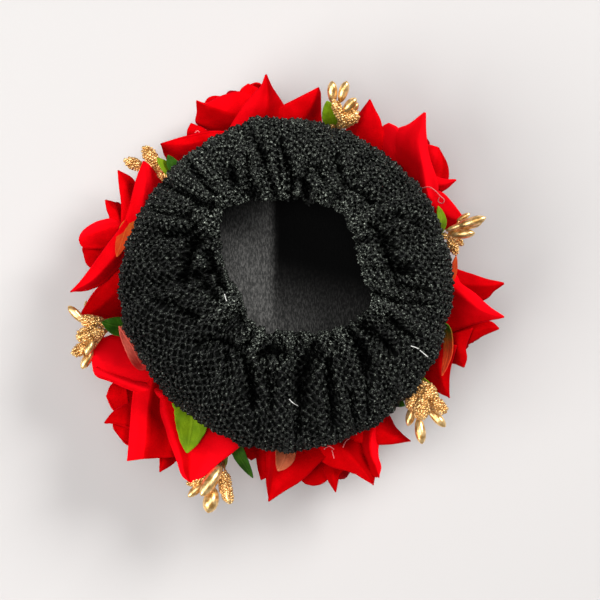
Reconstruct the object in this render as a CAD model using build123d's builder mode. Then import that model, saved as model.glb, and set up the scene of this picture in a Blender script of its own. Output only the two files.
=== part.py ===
"""A flower bun cover: a gathered net cap on a cloth disc, ringed by six roses, leaves and gold stamens.

Sizes are in millimetres. The cover lies on its flowers with its mouth up: +Z is up, z = 0 is what it lies on,
and the Z axis is the axis of the cap. Bearings are degrees round that axis, counterclockwise from +X.
"""

import os

from build123d import *
from math import cos, exp, radians, sin, tan

# Cap
cap_radius = 50.0
cap_height = 22.0
net_wall = 1.2
disc_thickness = 1.6
disc_slope = 3.0
crease_offset = -4.5
mouth_radius = 21.0
mouth_shift_x = 0.9
mouth_shift_y = 5.1
fold_depth = 3.4

# Roses
rose_dip = 45.0
hub_circle = 45.0
hub_radius = 4.5
hub_front = 5.0
hub_back_least = 1.5
petal_reach = 25.0
petal_width = 21.0
petal_rise = 7.0
petal_cup = 3.5
petal_thickness = 1.0
tip_droop = 0.3
layer_gap = 1.6
middle_reach = 16.0
middle_width = 16.0
middle_rise = 7.5
middle_core_radius = 4.0
middle_core_length = 5.0
heart_radius = 5.0
heart_length = 10.0
heart_base = 1.5
heart_foot_radius = 3.5
heart_swell_radius = 4.0
heart_swell_height = 4.5
heart_tip_radius = 2.0
wrap_reach = 7.0
wrap_width = 10.0
wrap_rise = 10.0

# Leaves and stamens
leaf_thickness = 0.8
leaf_root_circle = 46.8
leaf_width = 7.0
leaf_fold = 0.5
bud_length = 7.0
bud_radius = 1.7
cone_length = 7.5
cone_radius = 2.1
stem_radius = 0.5
stem_overlap = 1.5
stem_sink = 0.6
bundle_radius = 1.2
bundle_length = 5.0
bundle_circle = 45.5

# Clearances and shape limits
seat_gap = 0.3
sewn_gap = 0.25
pointed_tip = 0.6
rim_margin = 0.8

# Fine steps of the net: how many facets go round the cap.
net_facets = 96

# Net profile from the edge of the disc to the mouth. Swell is a share of cap_radius, inward runs from the edge
# of the cap (0) to the mouth (1), height is a share of cap_height, and fold is a share of fold_depth.
NET_ROWS = [
    # swell, inward, height, fold
    (0.985, 0.00, 0.00, 0.00),
    (0.995, 0.00, 0.13, 0.10),
    (1.000, 0.01, 0.29, 0.22),
    (1.000, 0.04, 0.46, 0.38),
    (1.000, 0.12, 0.63, 0.58),
    (1.000, 0.24, 0.78, 0.78),
    (1.000, 0.40, 0.90, 0.95),
    (1.000, 0.57, 0.97, 1.00),
    (1.000, 0.74, 1.00, 1.00),
    (1.000, 0.89, 0.97, 0.95),
    (1.000, 0.98, 0.89, 0.85),
    (1.000, 1.00, 0.78, 0.75),
]

# Valleys between the gathers. Each has its bearing, its half width in degrees and its depth as a share of
# fold_depth.
FOLDS = [
    # bearing, half_width, depth
    (3, 5, 0.55),
    (18, 6, 1.00),
    (37, 5, 0.60),
    (56, 6, 0.85),
    (74, 5, 0.55),
    (88, 4, 0.60),
    (101, 5, 1.00),
    (121, 6, 0.60),
    (143, 6, 0.70),
    (165, 7, 1.00),
    (184, 6, 0.95),
    (206, 6, 0.65),
    (231, 6, 0.75),
    (257, 6, 1.00),
    (279, 5, 0.95),
    (297, 5, 0.65),
    (315, 5, 0.95),
    (329, 5, 1.00),
    (347, 4, 0.60),
]

# Outline of the mouth: distance from its centre, as a share of mouth_radius, at each bearing.
MOUTH = [
    # bearing, reach
    (0, 0.96),
    (30, 1.02),
    (55, 1.10),
    (90, 0.99),
    (122, 1.14),
    (138, 1.26),
    (159, 1.08),
    (180, 0.96),
    (212, 0.86),
    (234, 0.95),
    (270, 0.94),
    (302, 1.08),
    (332, 1.22),
]

# Places of a petal's points across it, as shares of half its width.
PETAL_SHARES = (-1.0, -0.4, 0.4, 1.0)

# Spines of the three kinds of petal, from base to tip. Along is a share of the reach, forward of the rise,
# and breadth of the width; cup says how far the edges of the petal stand ahead of its middle.
OUTER_SPINE = [
    # along, forward, breadth, cup
    (0.12, 0.15, 0.30, 0.10),
    (0.34, 0.70, 0.76, 0.40),
    (0.62, 0.95, 1.00, 0.80),
    (0.84, 0.85, 0.60, 0.50),
    (1.00, 0.57, 0.00, 0.05),
]
MIDDLE_SPINE = [
    # along, forward, breadth, cup
    (0.18, 0.08, 0.35, 0.10),
    (0.42, 0.45, 0.80, 0.55),
    (0.75, 0.90, 1.00, 0.90),
    (1.00, 0.80, 0.00, 0.05),
]
WRAP_SPINE = [
    # along, forward, breadth, cup
    (0.55, 0.05, 0.50, 0.55),
    (0.95, 0.40, 0.95, 1.00),
    (1.00, 0.75, 1.00, 0.95),
    (0.85, 1.00, 0.40, 0.20),
]

# Petals of each rose. Turn is degrees about the rose's axis from its topmost direction, counterclockwise as
# seen from above the cap; reach and width are shares of the petal sizes; tip is the share of the width that is
# left at the end (0 is pointed); lean shifts the tip sideways, as a share of half the width; layer 1 lies ahead
# of layer 0.
FLOOR_PETAL = (180, 0.97, 0.85, 0.35, 0.0, 0)
ROSES = [
    {
        "bearing": 105,
        "outer": [
            # turn, reach, width, tip, lean, layer
            (90, 1.02, 0.90, 0.20, -0.45, 0),
            (-27, 0.92, 0.90, 0.00, 0.0, 0),
            (-82, 1.04, 1.00, 0.05, 0.6, 1),
            (132, 0.86, 0.80, 0.20, 0.0, 1),
            (-132, 0.86, 0.80, 0.20, 0.0, 0),
        ],
        "middle": [
            (22, 0.95, 1.25, 0.55, 0.0, 0),
            (77, 0.95, 0.80, 0.00, -0.2, 1),
            (140, 0.85, 0.95, 0.30, 0.0, 0),
            (-150, 0.85, 0.95, 0.30, 0.0, 1),
            (-70, 0.80, 1.00, 0.30, 0.0, 0),
        ],
    },
    {
        "bearing": 45,
        "outer": [
            (74, 1.00, 0.95, 0.00, -0.6, 0),
            (14, 1.03, 0.85, 0.12, 0.0, 0),
            (-84, 0.98, 0.80, 0.25, 0.3, 0),
            (132, 0.86, 0.80, 0.20, 0.0, 1),
            (-132, 0.86, 0.80, 0.20, 0.0, 1),
        ],
        "middle": [
            (-32, 0.86, 1.20, 0.55, 0.0, 0),
            (60, 0.82, 0.95, 0.50, 0.0, 0),
            (-60, 1.00, 0.50, 0.00, 0.2, 1),
            (140, 0.85, 0.95, 0.30, 0.0, 1),
            (-140, 0.85, 0.95, 0.30, 0.0, 0),
        ],
    },
    {
        "bearing": -15,
        "outer": [
            (54, 1.08, 0.90, 0.00, -0.7, 0),
            (14, 1.02, 0.70, 0.12, 0.1, 1),
            (-72, 0.94, 0.85, 0.05, 0.5, 0),
            (132, 0.86, 0.80, 0.20, 0.0, 1),
            (-132, 0.86, 0.80, 0.20, 0.0, 1),
        ],
        "middle": [
            (2, 1.12, 0.95, 0.05, 0.35, 0),
            (-50, 0.80, 0.60, 0.00, 0.0, 1),
            (75, 0.85, 0.95, 0.30, 0.0, 1),
            (140, 0.85, 0.95, 0.30, 0.0, 0),
            (-130, 0.85, 0.95, 0.30, 0.0, 0),
        ],
    },
    {
        "bearing": -75,
        "outer": [
            (75, 1.03, 0.85, 0.08, -0.4, 0),
            (26, 1.02, 0.85, 0.25, 0.0, 1),
            (-54, 1.16, 0.90, 0.05, 0.25, 0),
            (132, 0.86, 0.80, 0.20, 0.0, 1),
            (-128, 0.86, 0.80, 0.20, 0.0, 1),
        ],
        "middle": [
            (-8, 1.04, 0.65, 0.05, 0.0, 1),
            (-36, 0.88, 1.00, 0.50, 0.0, 0),
            (72, 0.85, 0.95, 0.30, 0.0, 0),
            (140, 0.85, 0.95, 0.30, 0.0, 1),
            (-135, 0.85, 0.95, 0.30, 0.0, 0),
        ],
    },
    {
        "bearing": -135,
        "outer": [
            (-74, 1.10, 1.05, 0.60, 0.1, 0),
            (14, 1.02, 1.00, 0.45, -0.35, 0),
            (66, 1.06, 0.95, 0.45, -0.1, 1),
            (132, 0.86, 0.80, 0.20, 0.0, 0),
            (-132, 0.86, 0.80, 0.20, 0.0, 1),
        ],
        "middle": [
            (-46, 0.96, 1.05, 0.50, 0.0, 0),
            (-25, 1.20, 0.60, 0.00, 0.0, 1),
            (39, 1.20, 0.60, 0.00, 0.0, 0),
            (110, 0.85, 0.95, 0.30, 0.0, 1),
            (-140, 0.85, 0.95, 0.30, 0.0, 0),
        ],
    },
    {
        "bearing": 165,
        "outer": [
            (-87, 0.98, 0.75, 0.05, 0.3, 1),
            (-55, 0.96, 0.75, 0.03, 0.0, 0),
            (44, 1.09, 0.70, 0.00, 0.0, 1),
            (76, 1.18, 0.90, 0.05, -0.7, 0),
            (132, 0.86, 0.80, 0.20, 0.0, 1),
            (-132, 0.86, 0.80, 0.20, 0.0, 0),
        ],
        "middle": [
            (20, 1.02, 1.25, 0.60, -0.15, 0),
            (-41, 0.86, 0.70, 0.00, 0.0, 1),
            (85, 0.85, 0.95, 0.30, 0.0, 1),
            (145, 0.85, 0.95, 0.30, 0.0, 0),
            (-125, 0.85, 0.95, 0.30, 0.0, 0),
        ],
    },
]
WRAP_PETALS = [
    # turn, reach, width, tip, lean, layer
    (20, 1.0, 1.0, 0.5, 0.0, 0),
    (140, 1.0, 1.0, 0.5, 0.0, 0),
    (260, 1.0, 1.0, 0.5, 0.0, 0),
]

# Leaves: bearing of the root and of the tip, distance of the tip from the axis as a share of cap_radius, width
# as a share of leaf_width, and the climb past the rim as a share of the distance past it.
LEAVES = [
    # name, root_bearing, tip_bearing, reach, width, climb
    ("leaf_lime_top", 81, 80, 1.13, 1.00, 0.60),
    ("leaf_green_right", 25, 23, 1.04, 0.85, 0.60),
    ("leaf_orange_right", 2, -3, 1.06, 0.95, 0.60),
    ("leaf_autumn_right", -25, -34, 1.12, 0.90, 0.80),
    ("leaf_yellow_low_right", -36, -35, 1.15, 0.45, 0.40),
    ("leaf_green_low_right", -54, -53, 1.05, 0.60, 0.60),
    ("leaf_orange_bottom", -90, -92, 1.13, 0.90, 0.90),
    ("leaf_green_bottom", -101, -99, 1.19, 0.80, 0.35),
    ("leaf_lime_low_left", -121, -122, 1.18, 1.30, 0.90),
    ("leaf_pink_left", -157, -160, 1.07, 0.95, 0.75),
    ("leaf_green_left", -168, -167, 1.15, 0.80, 0.95),
    ("leaf_orange_left", 175, 170, 1.08, 0.90, 0.80),
    ("leaf_yellow_top_left", 131, 133, 1.09, 0.55, 0.55),
    ("leaf_green_top_left", 125, 126, 1.06, 0.60, 0.55),
]

# Leaf outline: places under the net's edge and past it, as shares of each stretch, with breadth as a share of
# the leaf's width.
LEAF_SPINE = [
    # stage, along, breadth
    ("under", 0.0, 0.35),
    ("under", 1.0, 0.80),
    ("past", 0.35, 1.00),
    ("past", 0.70, 0.75),
    ("past", 1.0, 0.0),
]

# Outlines of the gold grains: place along the grain as a share of its length, and distance from its middle
# line as a share of its radius.
GRAINS = {
    # along, swell
    "bud": [(0.0, 0.35), (0.25, 0.85), (0.55, 1.0), (0.85, 0.55), (1.0, 0.15)],
    "cone": [(0.0, 0.45), (0.2, 0.95), (0.55, 0.9), (1.0, 0.3)],
}

# Gold bunches: the bearing of each, what it is stuck under, and its grains. A grain has the place of its tip
# from the root of the bunch, outwards, sideways and upwards, as shares of bud_length; its kind; and its length
# as a share of that kind's length.
BUNCHES = [
    {
        "bearing": 74,
        "carrier": "disc",
        "grains": [
            # out, side, up, kind, length
            (2.35, 0.55, 0.45, "bud", 0.95),
            (2.55, -0.05, 0.60, "bud", 0.90),
            (1.95, -0.50, 0.35, "bud", 0.80),
            (1.70, 0.35, 0.85, "cone", 0.70),
            (1.45, -0.35, 1.00, "cone", 0.85),
        ],
    },
    {
        "bearing": 17,
        "carrier": "disc",
        "grains": [
            (2.55, 0.15, 0.55, "bud", 1.05),
            (2.35, -0.10, 0.20, "bud", 1.00),
            (1.75, -0.40, 0.50, "bud", 0.90),
            (1.80, 0.50, 0.00, "bud", 0.80),
            (1.60, -0.80, 0.00, "cone", 0.70),
        ],
    },
    {
        "bearing": -41,
        "carrier": "disc",
        "grains": [
            (1.50, -1.05, 0.00, "bud", 0.85),
            (2.40, -1.20, 0.25, "bud", 0.95),
            (2.65, -0.15, 0.15, "bud", 1.00),
            (1.50, -0.40, 0.95, "cone", 1.00),
            (2.20, 0.45, 0.80, "cone", 1.05),
            (1.55, 0.30, 1.30, "cone", 0.80),
        ],
    },
    {
        "bearing": -110,
        "carrier": "disc",
        "grains": [
            (3.40, -0.70, 0.55, "cone", 0.75),
            (2.90, -0.30, 0.80, "bud", 1.15),
            (3.80, 0.15, 0.45, "bud", 1.20),
            (3.10, 0.90, 0.45, "cone", 1.10),
            (2.55, 0.45, 0.10, "bud", 1.00),
        ],
    },
    {
        "bearing": -166,
        "carrier": "leaf",
        "grains": [
            (2.85, -0.90, -1.05, "bud", 0.90),
            (2.50, -0.30, 0.05, "cone", 1.00),
            (2.75, 0.50, 0.45, "cone", 0.95),
            (2.55, 1.20, 0.95, "bud", 0.90),
            (1.80, 0.10, 0.75, "cone", 0.80),
        ],
    },
    {
        "bearing": 138,
        "carrier": "disc",
        "grains": [
            (2.15, 0.75, -0.10, "cone", 0.85),
            (2.05, -0.10, 0.50, "cone", 1.05),
            (1.25, 0.05, 0.95, "cone", 0.80),
            (1.55, -0.55, 0.10, "cone", 0.70),
        ],
    },
]


# Places on the cap
disc_radius = cap_radius * NET_ROWS[0][0] - net_wall - sewn_gap
tip_forward = petal_rise * OUTER_SPINE[-1][1]
hub_height = (
    petal_reach * FLOOR_PETAL[1] * cos(radians(rose_dip))
    + (tip_forward + petal_thickness) * sin(radians(rose_dip))
    + tip_droop
)
disc_height = hub_height + (hub_back_least + hub_radius) * sin(radians(rose_dip)) + seat_gap


def underside(x):
    """Height of the disc's lower face, which climbs to both sides of its crease."""
    return disc_height + abs(x - crease_offset) * tan(radians(disc_slope))


def around(bearing):
    """Level direction at a bearing round the cap."""
    return Vector(cos(radians(bearing)), sin(radians(bearing)), 0)


# Cloth disc that closes the cap, bent along its crease
with BuildPart() as crown_disc:
    rim_left = (-cap_radius, underside(-cap_radius))
    rim_right = (cap_radius, underside(cap_radius))
    fold_line = (crease_offset, underside(crease_offset))
    with BuildSketch(Plane.XZ):
        with BuildLine():
            Polyline(
                rim_left,
                fold_line,
                rim_right,
                (rim_right[0], rim_right[1] + disc_thickness),
                (fold_line[0], fold_line[1] + disc_thickness),
                (rim_left[0], rim_left[1] + disc_thickness),
                close=True,
            )
        make_face()
    extrude(amount=cap_radius, both=True)
    with BuildSketch():
        Circle(disc_radius)
    extrude(amount=disc_height + cap_radius, mode=Mode.INTERSECT)


def strip(first, second):
    """Triangles between two closed rings of as many points."""
    facets = []
    for i, corner in enumerate(first):
        n = (i + 1) % len(first)
        facets.append(Face(Wire.make_polygon([corner, first[n], second[n]], close=True)))
        facets.append(Face(Wire.make_polygon([corner, second[n], second[i]], close=True)))
    return facets


def blade(rings):
    """Solid skinned over a row of flat rings of as many points, closed at both ends."""
    faces = [Face(Wire.make_polygon(ring, close=True)) for ring in (rings[0], rings[-1])]
    for ring, next_ring in zip(rings, rings[1:]):
        faces += strip(ring, next_ring)
    return Solid(Shell(faces))


# Net cap
def mouth_reach(bearing):
    """Distance of the mouth's edge from its centre, eased between the rows of its table."""
    rows = [*MOUTH, (MOUTH[0][0] + 360, MOUTH[0][1])]
    for (start, near), (end, far) in zip(rows, rows[1:]):
        if start <= bearing < end:
            ease = (1 - cos(radians(180 * (bearing - start) / (end - start)))) / 2
            return mouth_radius * (near + (far - near) * ease)


def fold_drop(bearing):
    """Depth of the gathers at a bearing: the sum of the valleys near it."""
    drop = 0
    for valley, half_width, depth in FOLDS:
        apart = abs((bearing - valley + 180) % 360 - 180)
        drop += depth * exp(-((apart / half_width) ** 2))
    return fold_depth * drop


def net_point(column, row):
    """Point of the net's outer face before its folds are pressed in."""
    swell, inward, height, _ = NET_ROWS[row]
    bearing = 360 * column / net_facets
    rim = around(bearing) * (cap_radius * swell)
    mouth = Vector(mouth_shift_x, mouth_shift_y, 0) + around(bearing) * mouth_reach(bearing)
    flat = rim + (mouth - rim) * inward
    return flat + Vector(0, 0, underside(rim.X) + cap_height * height)


def face_normal(points, column, row):
    """Direction that leads out of the net at one point of a grid of points."""
    last = len(points) - 1
    along = points[min(row + 1, last)][column] - points[max(row - 1, 0)][column]
    around_net = points[row][(column + 1) % net_facets] - points[row][column - 1]
    return around_net.cross(along).normalized()


def net_skins():
    """Outer and inner grids of points of the net, folded and one wall apart."""
    rows, columns = range(len(NET_ROWS)), range(net_facets)
    smooth = [[net_point(c, r) for c in columns] for r in rows]
    outer = [
        [
            smooth[r][c] - face_normal(smooth, c, r) * (fold_drop(360 * c / net_facets) * NET_ROWS[r][3])
            for c in columns
        ]
        for r in rows
    ]
    inner = [[outer[r][c] - face_normal(outer, c, r) * net_wall for c in columns] for r in rows]
    return outer, inner


outer_skin, inner_skin = net_skins()
net_rings = [*outer_skin, *reversed(inner_skin)]
net_faces = []
for ring, next_ring in zip(net_rings, [*net_rings[1:], net_rings[0]]):
    net_faces += strip(ring, next_ring)
net_solid = Solid(Shell(net_faces))

with BuildPart() as net_cover:
    add(net_solid)


# Roses
def rose_frame(bearing):
    """Hub point of a rose and its directions: ahead along its axis, up to its topmost petal, and sideways."""
    out = around(bearing)
    dip = radians(rose_dip)
    hub = out * hub_circle + Vector(0, 0, hub_height)
    ahead = out * cos(dip) - Vector(0, 0, sin(dip))
    up = out * sin(dip) + Vector(0, 0, cos(dip))
    return hub, ahead, up, around(bearing + 90)


def petal(frame, row, spine, size, base):
    """Thin cupped petal of a rose, as a solid. Base is how far ahead of the hub its spine starts."""
    hub, ahead, up, side = frame
    turn, reach, width, tip, lean, layer = row
    full_reach, full_width, rise = size
    heading = up * cos(radians(turn)) + side * sin(radians(turn))
    across = ahead.cross(heading)
    half_width = width * full_width / 2
    centres = [
        hub
        + heading * (reach * full_reach * along)
        + ahead * (base + rise * forward + layer_gap * layer * along)
        + across * (-lean * half_width * along**2)
        for along, forward, _, _ in spine
    ]
    rings = []
    for i, (_, _, breadth, cup) in enumerate(spine):
        run = centres[min(i + 1, len(spine) - 1)] - centres[max(i - 1, 0)]
        half = max(half_width * (breadth if i < len(spine) - 1 else tip), pointed_tip)
        lift = run.cross(across).normalized()
        depth = petal_cup * cup * half / (full_width / 2)
        back = [centres[i] + across * (half * share) + lift * (depth * share**2) for share in PETAL_SHARES]
        front = [point + lift * petal_thickness for point in back]
        rings.append([*back, *reversed(front)])
    return blade(rings)


def axis_plane(frame, forward):
    """Plane across a rose's axis, a distance ahead of its hub."""
    hub, ahead, up, _ = frame
    return Plane(origin=hub + ahead * forward, x_dir=up, z_dir=ahead)


outer_size = (petal_reach, petal_width, petal_rise)
middle_size = (middle_reach, middle_width, middle_rise)
wrap_size = (wrap_reach, wrap_width, wrap_rise)
middle_start = hub_front + seat_gap
heart_start = middle_start + middle_core_length + seat_gap
rose_parts = {}
for number, rose in enumerate(ROSES, 1):
    frame = rose_frame(rose["bearing"])
    hub, ahead, up, _ = frame
    # The hub reaches back until its upper rim lies a seat gap under the disc.
    seat = underside(hub.X) - seat_gap
    hub_back = (seat - hub.Z) / sin(radians(rose_dip)) - hub_radius / tan(radians(rose_dip))

    petals = [petal(frame, row, OUTER_SPINE, outer_size, 0) for row in [*rose["outer"], FLOOR_PETAL]]
    with BuildPart() as outer:
        with BuildSketch(axis_plane(frame, -hub_back)):
            Circle(hub_radius)
        extrude(amount=hub_back + hub_front)
        add(petals)

    petals = [petal(frame, row, MIDDLE_SPINE, middle_size, middle_start) for row in rose["middle"]]
    with BuildPart() as middle:
        with BuildSketch(axis_plane(frame, middle_start)):
            Circle(middle_core_radius)
        extrude(amount=middle_core_length)
        add(petals)

    petals = [petal(frame, row, WRAP_SPINE, wrap_size, heart_start) for row in WRAP_PETALS]
    with BuildPart() as heart:
        with BuildSketch(axis_plane(frame, heart_start)):
            Circle(heart_radius)
        extrude(amount=heart_base)
        with BuildSketch(axis_plane(frame, heart_start)):
            Circle(heart_foot_radius)
        with BuildSketch(axis_plane(frame, heart_start + heart_swell_height)):
            Circle(heart_swell_radius)
        with BuildSketch(axis_plane(frame, heart_start + heart_length)):
            Circle(heart_tip_radius)
        loft()
        add(petals)

    rose_parts[f"rose_{number}_outer"] = outer.part
    rose_parts[f"rose_{number}_middle"] = middle.part
    rose_parts[f"rose_{number}_heart"] = heart.part


# Leaves
rim_circle = cap_radius + rim_margin
leaf_parts = {}
for name, root_bearing, tip_bearing, reach, width, climb in LEAVES:
    root = around(root_bearing) * leaf_root_circle
    root += Vector(0, 0, underside(root.X) - seat_gap - leaf_thickness)
    level_tip = around(tip_bearing) * (cap_radius * reach) + Vector(0, 0, root.Z)
    # The leaf runs level under the edge of the net, and climbs past it.
    tucked_share = (rim_circle - leaf_root_circle) / (cap_radius * reach - leaf_root_circle)
    edge = root + (level_tip - root) * tucked_share
    tip = level_tip + Vector(0, 0, climb * (level_tip - edge).length)
    across = Vector(0, 0, 1).cross(level_tip - root).normalized()
    rings = []
    for stage, along, breadth in LEAF_SPINE:
        start, end = (root, edge) if stage == "under" else (edge, tip)
        half = across * max(breadth * width * leaf_width / 2, pointed_tip)
        middle = start + (end - start) * along
        fold = Vector(0, 0, leaf_fold * breadth)
        lift = Vector(0, 0, leaf_thickness)
        lower = [middle - half, middle - fold, middle + half]
        rings.append([*lower, *(point + lift for point in reversed(lower))])
    leaf_solid = blade(rings)
    with BuildPart() as leaf:
        add(leaf_solid)
    leaf_parts[name] = leaf.part


# Gold bunches
bunch_parts = {}
for number, bunch in enumerate(BUNCHES, 1):
    out = around(bunch["bearing"])
    side = around(bunch["bearing"] + 90)
    root = out * bundle_circle
    # A bunch lies under the disc, or under the leaf that comes between.
    leaf_drop = leaf_thickness + leaf_fold + seat_gap if bunch["carrier"] == "leaf" else 0
    root += Vector(0, 0, underside(root.X) - seat_gap - leaf_drop - bundle_radius)
    fork = root + out * bundle_length
    with BuildPart() as stamens:
        with BuildSketch(Plane(origin=root, z_dir=out)):
            Circle(bundle_radius)
        extrude(amount=bundle_length)
        for out_share, side_share, up_share, kind, length_share in bunch["grains"]:
            tip = root + (out * out_share + side * side_share + Vector(0, 0, up_share)) * bud_length
            grain_length = (bud_length if kind == "bud" else cone_length) * length_share
            grain_radius = (bud_radius if kind == "bud" else cone_radius) * length_share**0.5
            heading = (tip - fork).normalized()
            start = fork - heading * stem_sink
            foot = tip - heading * grain_length
            with BuildSketch(Plane(origin=start, z_dir=heading)):
                Circle(stem_radius)
            extrude(amount=(foot - start).length + stem_overlap)
            profile = [(grain_length * along, grain_radius * swell) for along, swell in GRAINS[kind]]
            with BuildSketch(Plane(origin=foot, x_dir=heading, z_dir=heading.cross(Vector(0, 0, 1)))):
                with BuildLine():
                    Polyline((0, 0), *profile, (grain_length, 0), close=True)
                make_face()
            revolve(axis=Axis(foot, heading))
    bunch_parts[f"stamen_bunch_{number}"] = stamens.part


os.makedirs("parts", exist_ok=True)
pieces = {
    "crown_disc": crown_disc.part,
    "net_cover": net_cover.part,
    **rose_parts,
    **leaf_parts,
    **bunch_parts,
}
for name, piece in pieces.items():
    piece.label = name
    export_step(piece, f"parts/{name}.step")
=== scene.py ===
"""Looks of the flower bun cover: knitted net, woven panel, velvet roses, cloth leaves and gold bunches."""

import bpy
import numpy as np
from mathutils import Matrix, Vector, noise


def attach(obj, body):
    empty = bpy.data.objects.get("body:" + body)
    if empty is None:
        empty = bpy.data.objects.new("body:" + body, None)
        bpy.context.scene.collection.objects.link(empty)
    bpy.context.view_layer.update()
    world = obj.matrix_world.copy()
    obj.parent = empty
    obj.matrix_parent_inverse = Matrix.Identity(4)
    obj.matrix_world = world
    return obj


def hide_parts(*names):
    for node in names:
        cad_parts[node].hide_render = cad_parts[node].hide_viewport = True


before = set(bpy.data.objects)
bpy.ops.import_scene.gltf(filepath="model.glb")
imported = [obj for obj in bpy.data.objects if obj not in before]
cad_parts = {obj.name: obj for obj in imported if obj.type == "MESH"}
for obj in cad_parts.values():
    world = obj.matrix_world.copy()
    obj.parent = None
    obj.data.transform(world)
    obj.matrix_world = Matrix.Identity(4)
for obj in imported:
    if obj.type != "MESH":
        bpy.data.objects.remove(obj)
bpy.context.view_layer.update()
MM = 0.001


# Camera and light
# The camera stands at EYE, in millimetres, and looks straight down.
EYE = (3.9, -4.8, 683.0)
SENSOR_WIDTH, LENS, CLIP_START = 36, 130, 0.01
LIGHTS = [
    # name, place, target, size, power, color
    ("key", (1.05, 0.92, 1.10), (0, 0, 0.02), 0.80, 34.0, (1.0, 0.99, 0.98)),
    ("fill", (-1.20, -0.50, 1.10), (0, 0, 0.02), 1.4, 30.0, (1.0, 0.985, 0.97)),
    ("top", (-0.3, 0.2, 2.0), (0, 0, 0), 1.4, 16.0, (1, 1, 1)),
]
SKY, SKY_STRENGTH = (0.93, 0.95, 1.0, 1), 0.16


def add_object(name, data):
    obj = bpy.data.objects.new(name, data)
    bpy.context.scene.collection.objects.link(obj)
    return obj


def camera():
    data = bpy.data.cameras.new("camera")
    data.sensor_width = SENSOR_WIDTH
    data.lens = LENS
    data.clip_start = CLIP_START
    obj = add_object("camera", data)
    obj.location = [c * MM for c in EYE]
    obj.rotation_euler = (0, 0, 0)
    bpy.context.scene.camera = obj


def area_light(name, place, target, size, power, color):
    data = bpy.data.lights.new(name, "AREA")
    data.shape = "DISK"
    data.size = size
    data.energy = power
    data.color = color
    obj = add_object(name, data)
    obj.location = place
    obj.rotation_euler = (Vector(target) - obj.location).to_track_quat("-Z", "Y").to_euler()


def sky():
    world = bpy.context.scene.world or bpy.data.worlds.new("world")
    bpy.context.scene.world = world
    world.use_nodes = True
    background = world.node_tree.nodes["Background"]
    background.inputs[0].default_value = SKY
    background.inputs[1].default_value = SKY_STRENGTH


camera()
for light in LIGHTS:
    area_light(*light)
sky()
bpy.context.scene.view_settings.view_transform = "Standard"


# Materials
class Shader:
    """Builds one node material. A socket's name is written with underscores for its spaces."""

    def __init__(self, name, **sockets):
        self.mat = bpy.data.materials.new(name)
        self.mat.use_nodes = True
        self.tree = self.mat.node_tree
        self.bsdf = self.tree.nodes["Principled BSDF"]
        for key, value in sockets.items():
            self.bsdf.inputs[key.replace("_", " ")].default_value = value

    def node(self, kind, **values):
        made = self.tree.nodes.new(kind)
        for key, value in values.items():
            if hasattr(made, key):
                setattr(made, key, value)
            else:
                made.inputs[key.replace("_", " ")].default_value = value
        return made

    def link(self, a, b):
        self.tree.links.new(a, b)

    def feed(self, socket, value):
        """Gives a socket a number, a color or the output of another node."""
        if isinstance(value, (int, float)):
            socket.default_value = value
        elif isinstance(value, tuple):
            socket.default_value = (*value, 1)
        else:
            self.link(value, socket)

    def coords(self, scale=(1, 1, 1)):
        place = self.node("ShaderNodeTexCoord")
        mapping = self.node("ShaderNodeMapping", Scale=scale)
        self.link(place.outputs["Object"], mapping.inputs["Vector"])
        return mapping.outputs["Vector"]

    def attribute(self, name):
        return self.node("ShaderNodeAttribute", attribute_name=name).outputs["Fac"]

    def noise(self, vector, scale, detail=2.0, roughness=0.5):
        made = self.node("ShaderNodeTexNoise", Scale=scale, Detail=detail, Roughness=roughness)
        self.link(vector, made.inputs["Vector"])
        return made.outputs["Fac"]

    def ramp(self, fac, *stops):
        made = self.node("ShaderNodeValToRGB")
        elements = made.color_ramp.elements
        for element, (at, color) in ((elements[0], stops[0]), (elements[1], stops[-1])):
            element.position = at
            element.color = (*color, 1)
        for at, color in stops[1:-1]:
            elements.new(at).color = (*color, 1)
        self.link(fac, made.inputs["Fac"])
        return made.outputs["Color"]

    def mix(self, fac, a, b):
        made = self.node("ShaderNodeMix", data_type="RGBA")
        for socket, value in zip((made.inputs[0], made.inputs[6], made.inputs[7]), (fac, a, b)):
            self.feed(socket, value)
        return made.outputs[2]

    def math(self, operation, a, b):
        made = self.node("ShaderNodeMath", operation=operation)
        self.feed(made.inputs[0], a)
        self.feed(made.inputs[1], b)
        return made.outputs[0]

    def color(self, output):
        self.link(output, self.bsdf.inputs["Base Color"])

    def bump(self, height, strength, distance):
        made = self.node("ShaderNodeBump", Strength=strength, Distance=distance)
        self.link(height, made.inputs["Height"])
        self.link(made.outputs["Normal"], self.bsdf.inputs["Normal"])


def dim(share, color):
    return tuple(share * c for c in color)


def grey(value):
    return (value, value, value)


VELVET_LIT = (0.98, 0.0025, 0.009)
VELVET_SHEEN, VELVET_GLOSS = (1.0, 0.01, 0.06, 1), (1.0, 0.05, 0.08, 1)
YARN_BLACK = (0.0005, 0.0006, 0.0005)


def velvet(name, dark, light):
    """Velvet in random patches; shade above 0 is painted light on a petal and below 0 painted shade."""
    s = Shader(name, Roughness=0.9, Sheen_Weight=0.25, Sheen_Roughness=0.4, Sheen_Tint=VELVET_SHEEN,
               Specular_IOR_Level=0.04, Specular_Tint=VELVET_GLOSS)
    at = s.coords()
    patches = s.noise(at, 130.0, 4.0, 0.6)
    pile = s.noise(at, 2600.0, 3.0, 0.75)
    between = tuple(0.5 * (a + b) for a, b in zip(dark, light))
    base = s.ramp(patches, (0.30, dark), (0.52, between), (0.72, light))
    base = s.mix(s.math("MULTIPLY", pile, 0.55), base, dim(0.45, dark))
    # Painted shade below 0 and painted light above 0, from the shade value of each point.
    shade = s.attribute("shade")
    base = s.mix(s.math("MULTIPLY", shade, -0.8), base, dim(0.45, dark))
    s.color(s.mix(shade, base, VELVET_LIT))
    creases = s.math("MULTIPLY", s.noise(at, 700.0, 3.0), 0.6)
    s.bump(s.math("ADD", pile, creases), 0.35, 0.00012)
    return s.mat


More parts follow.
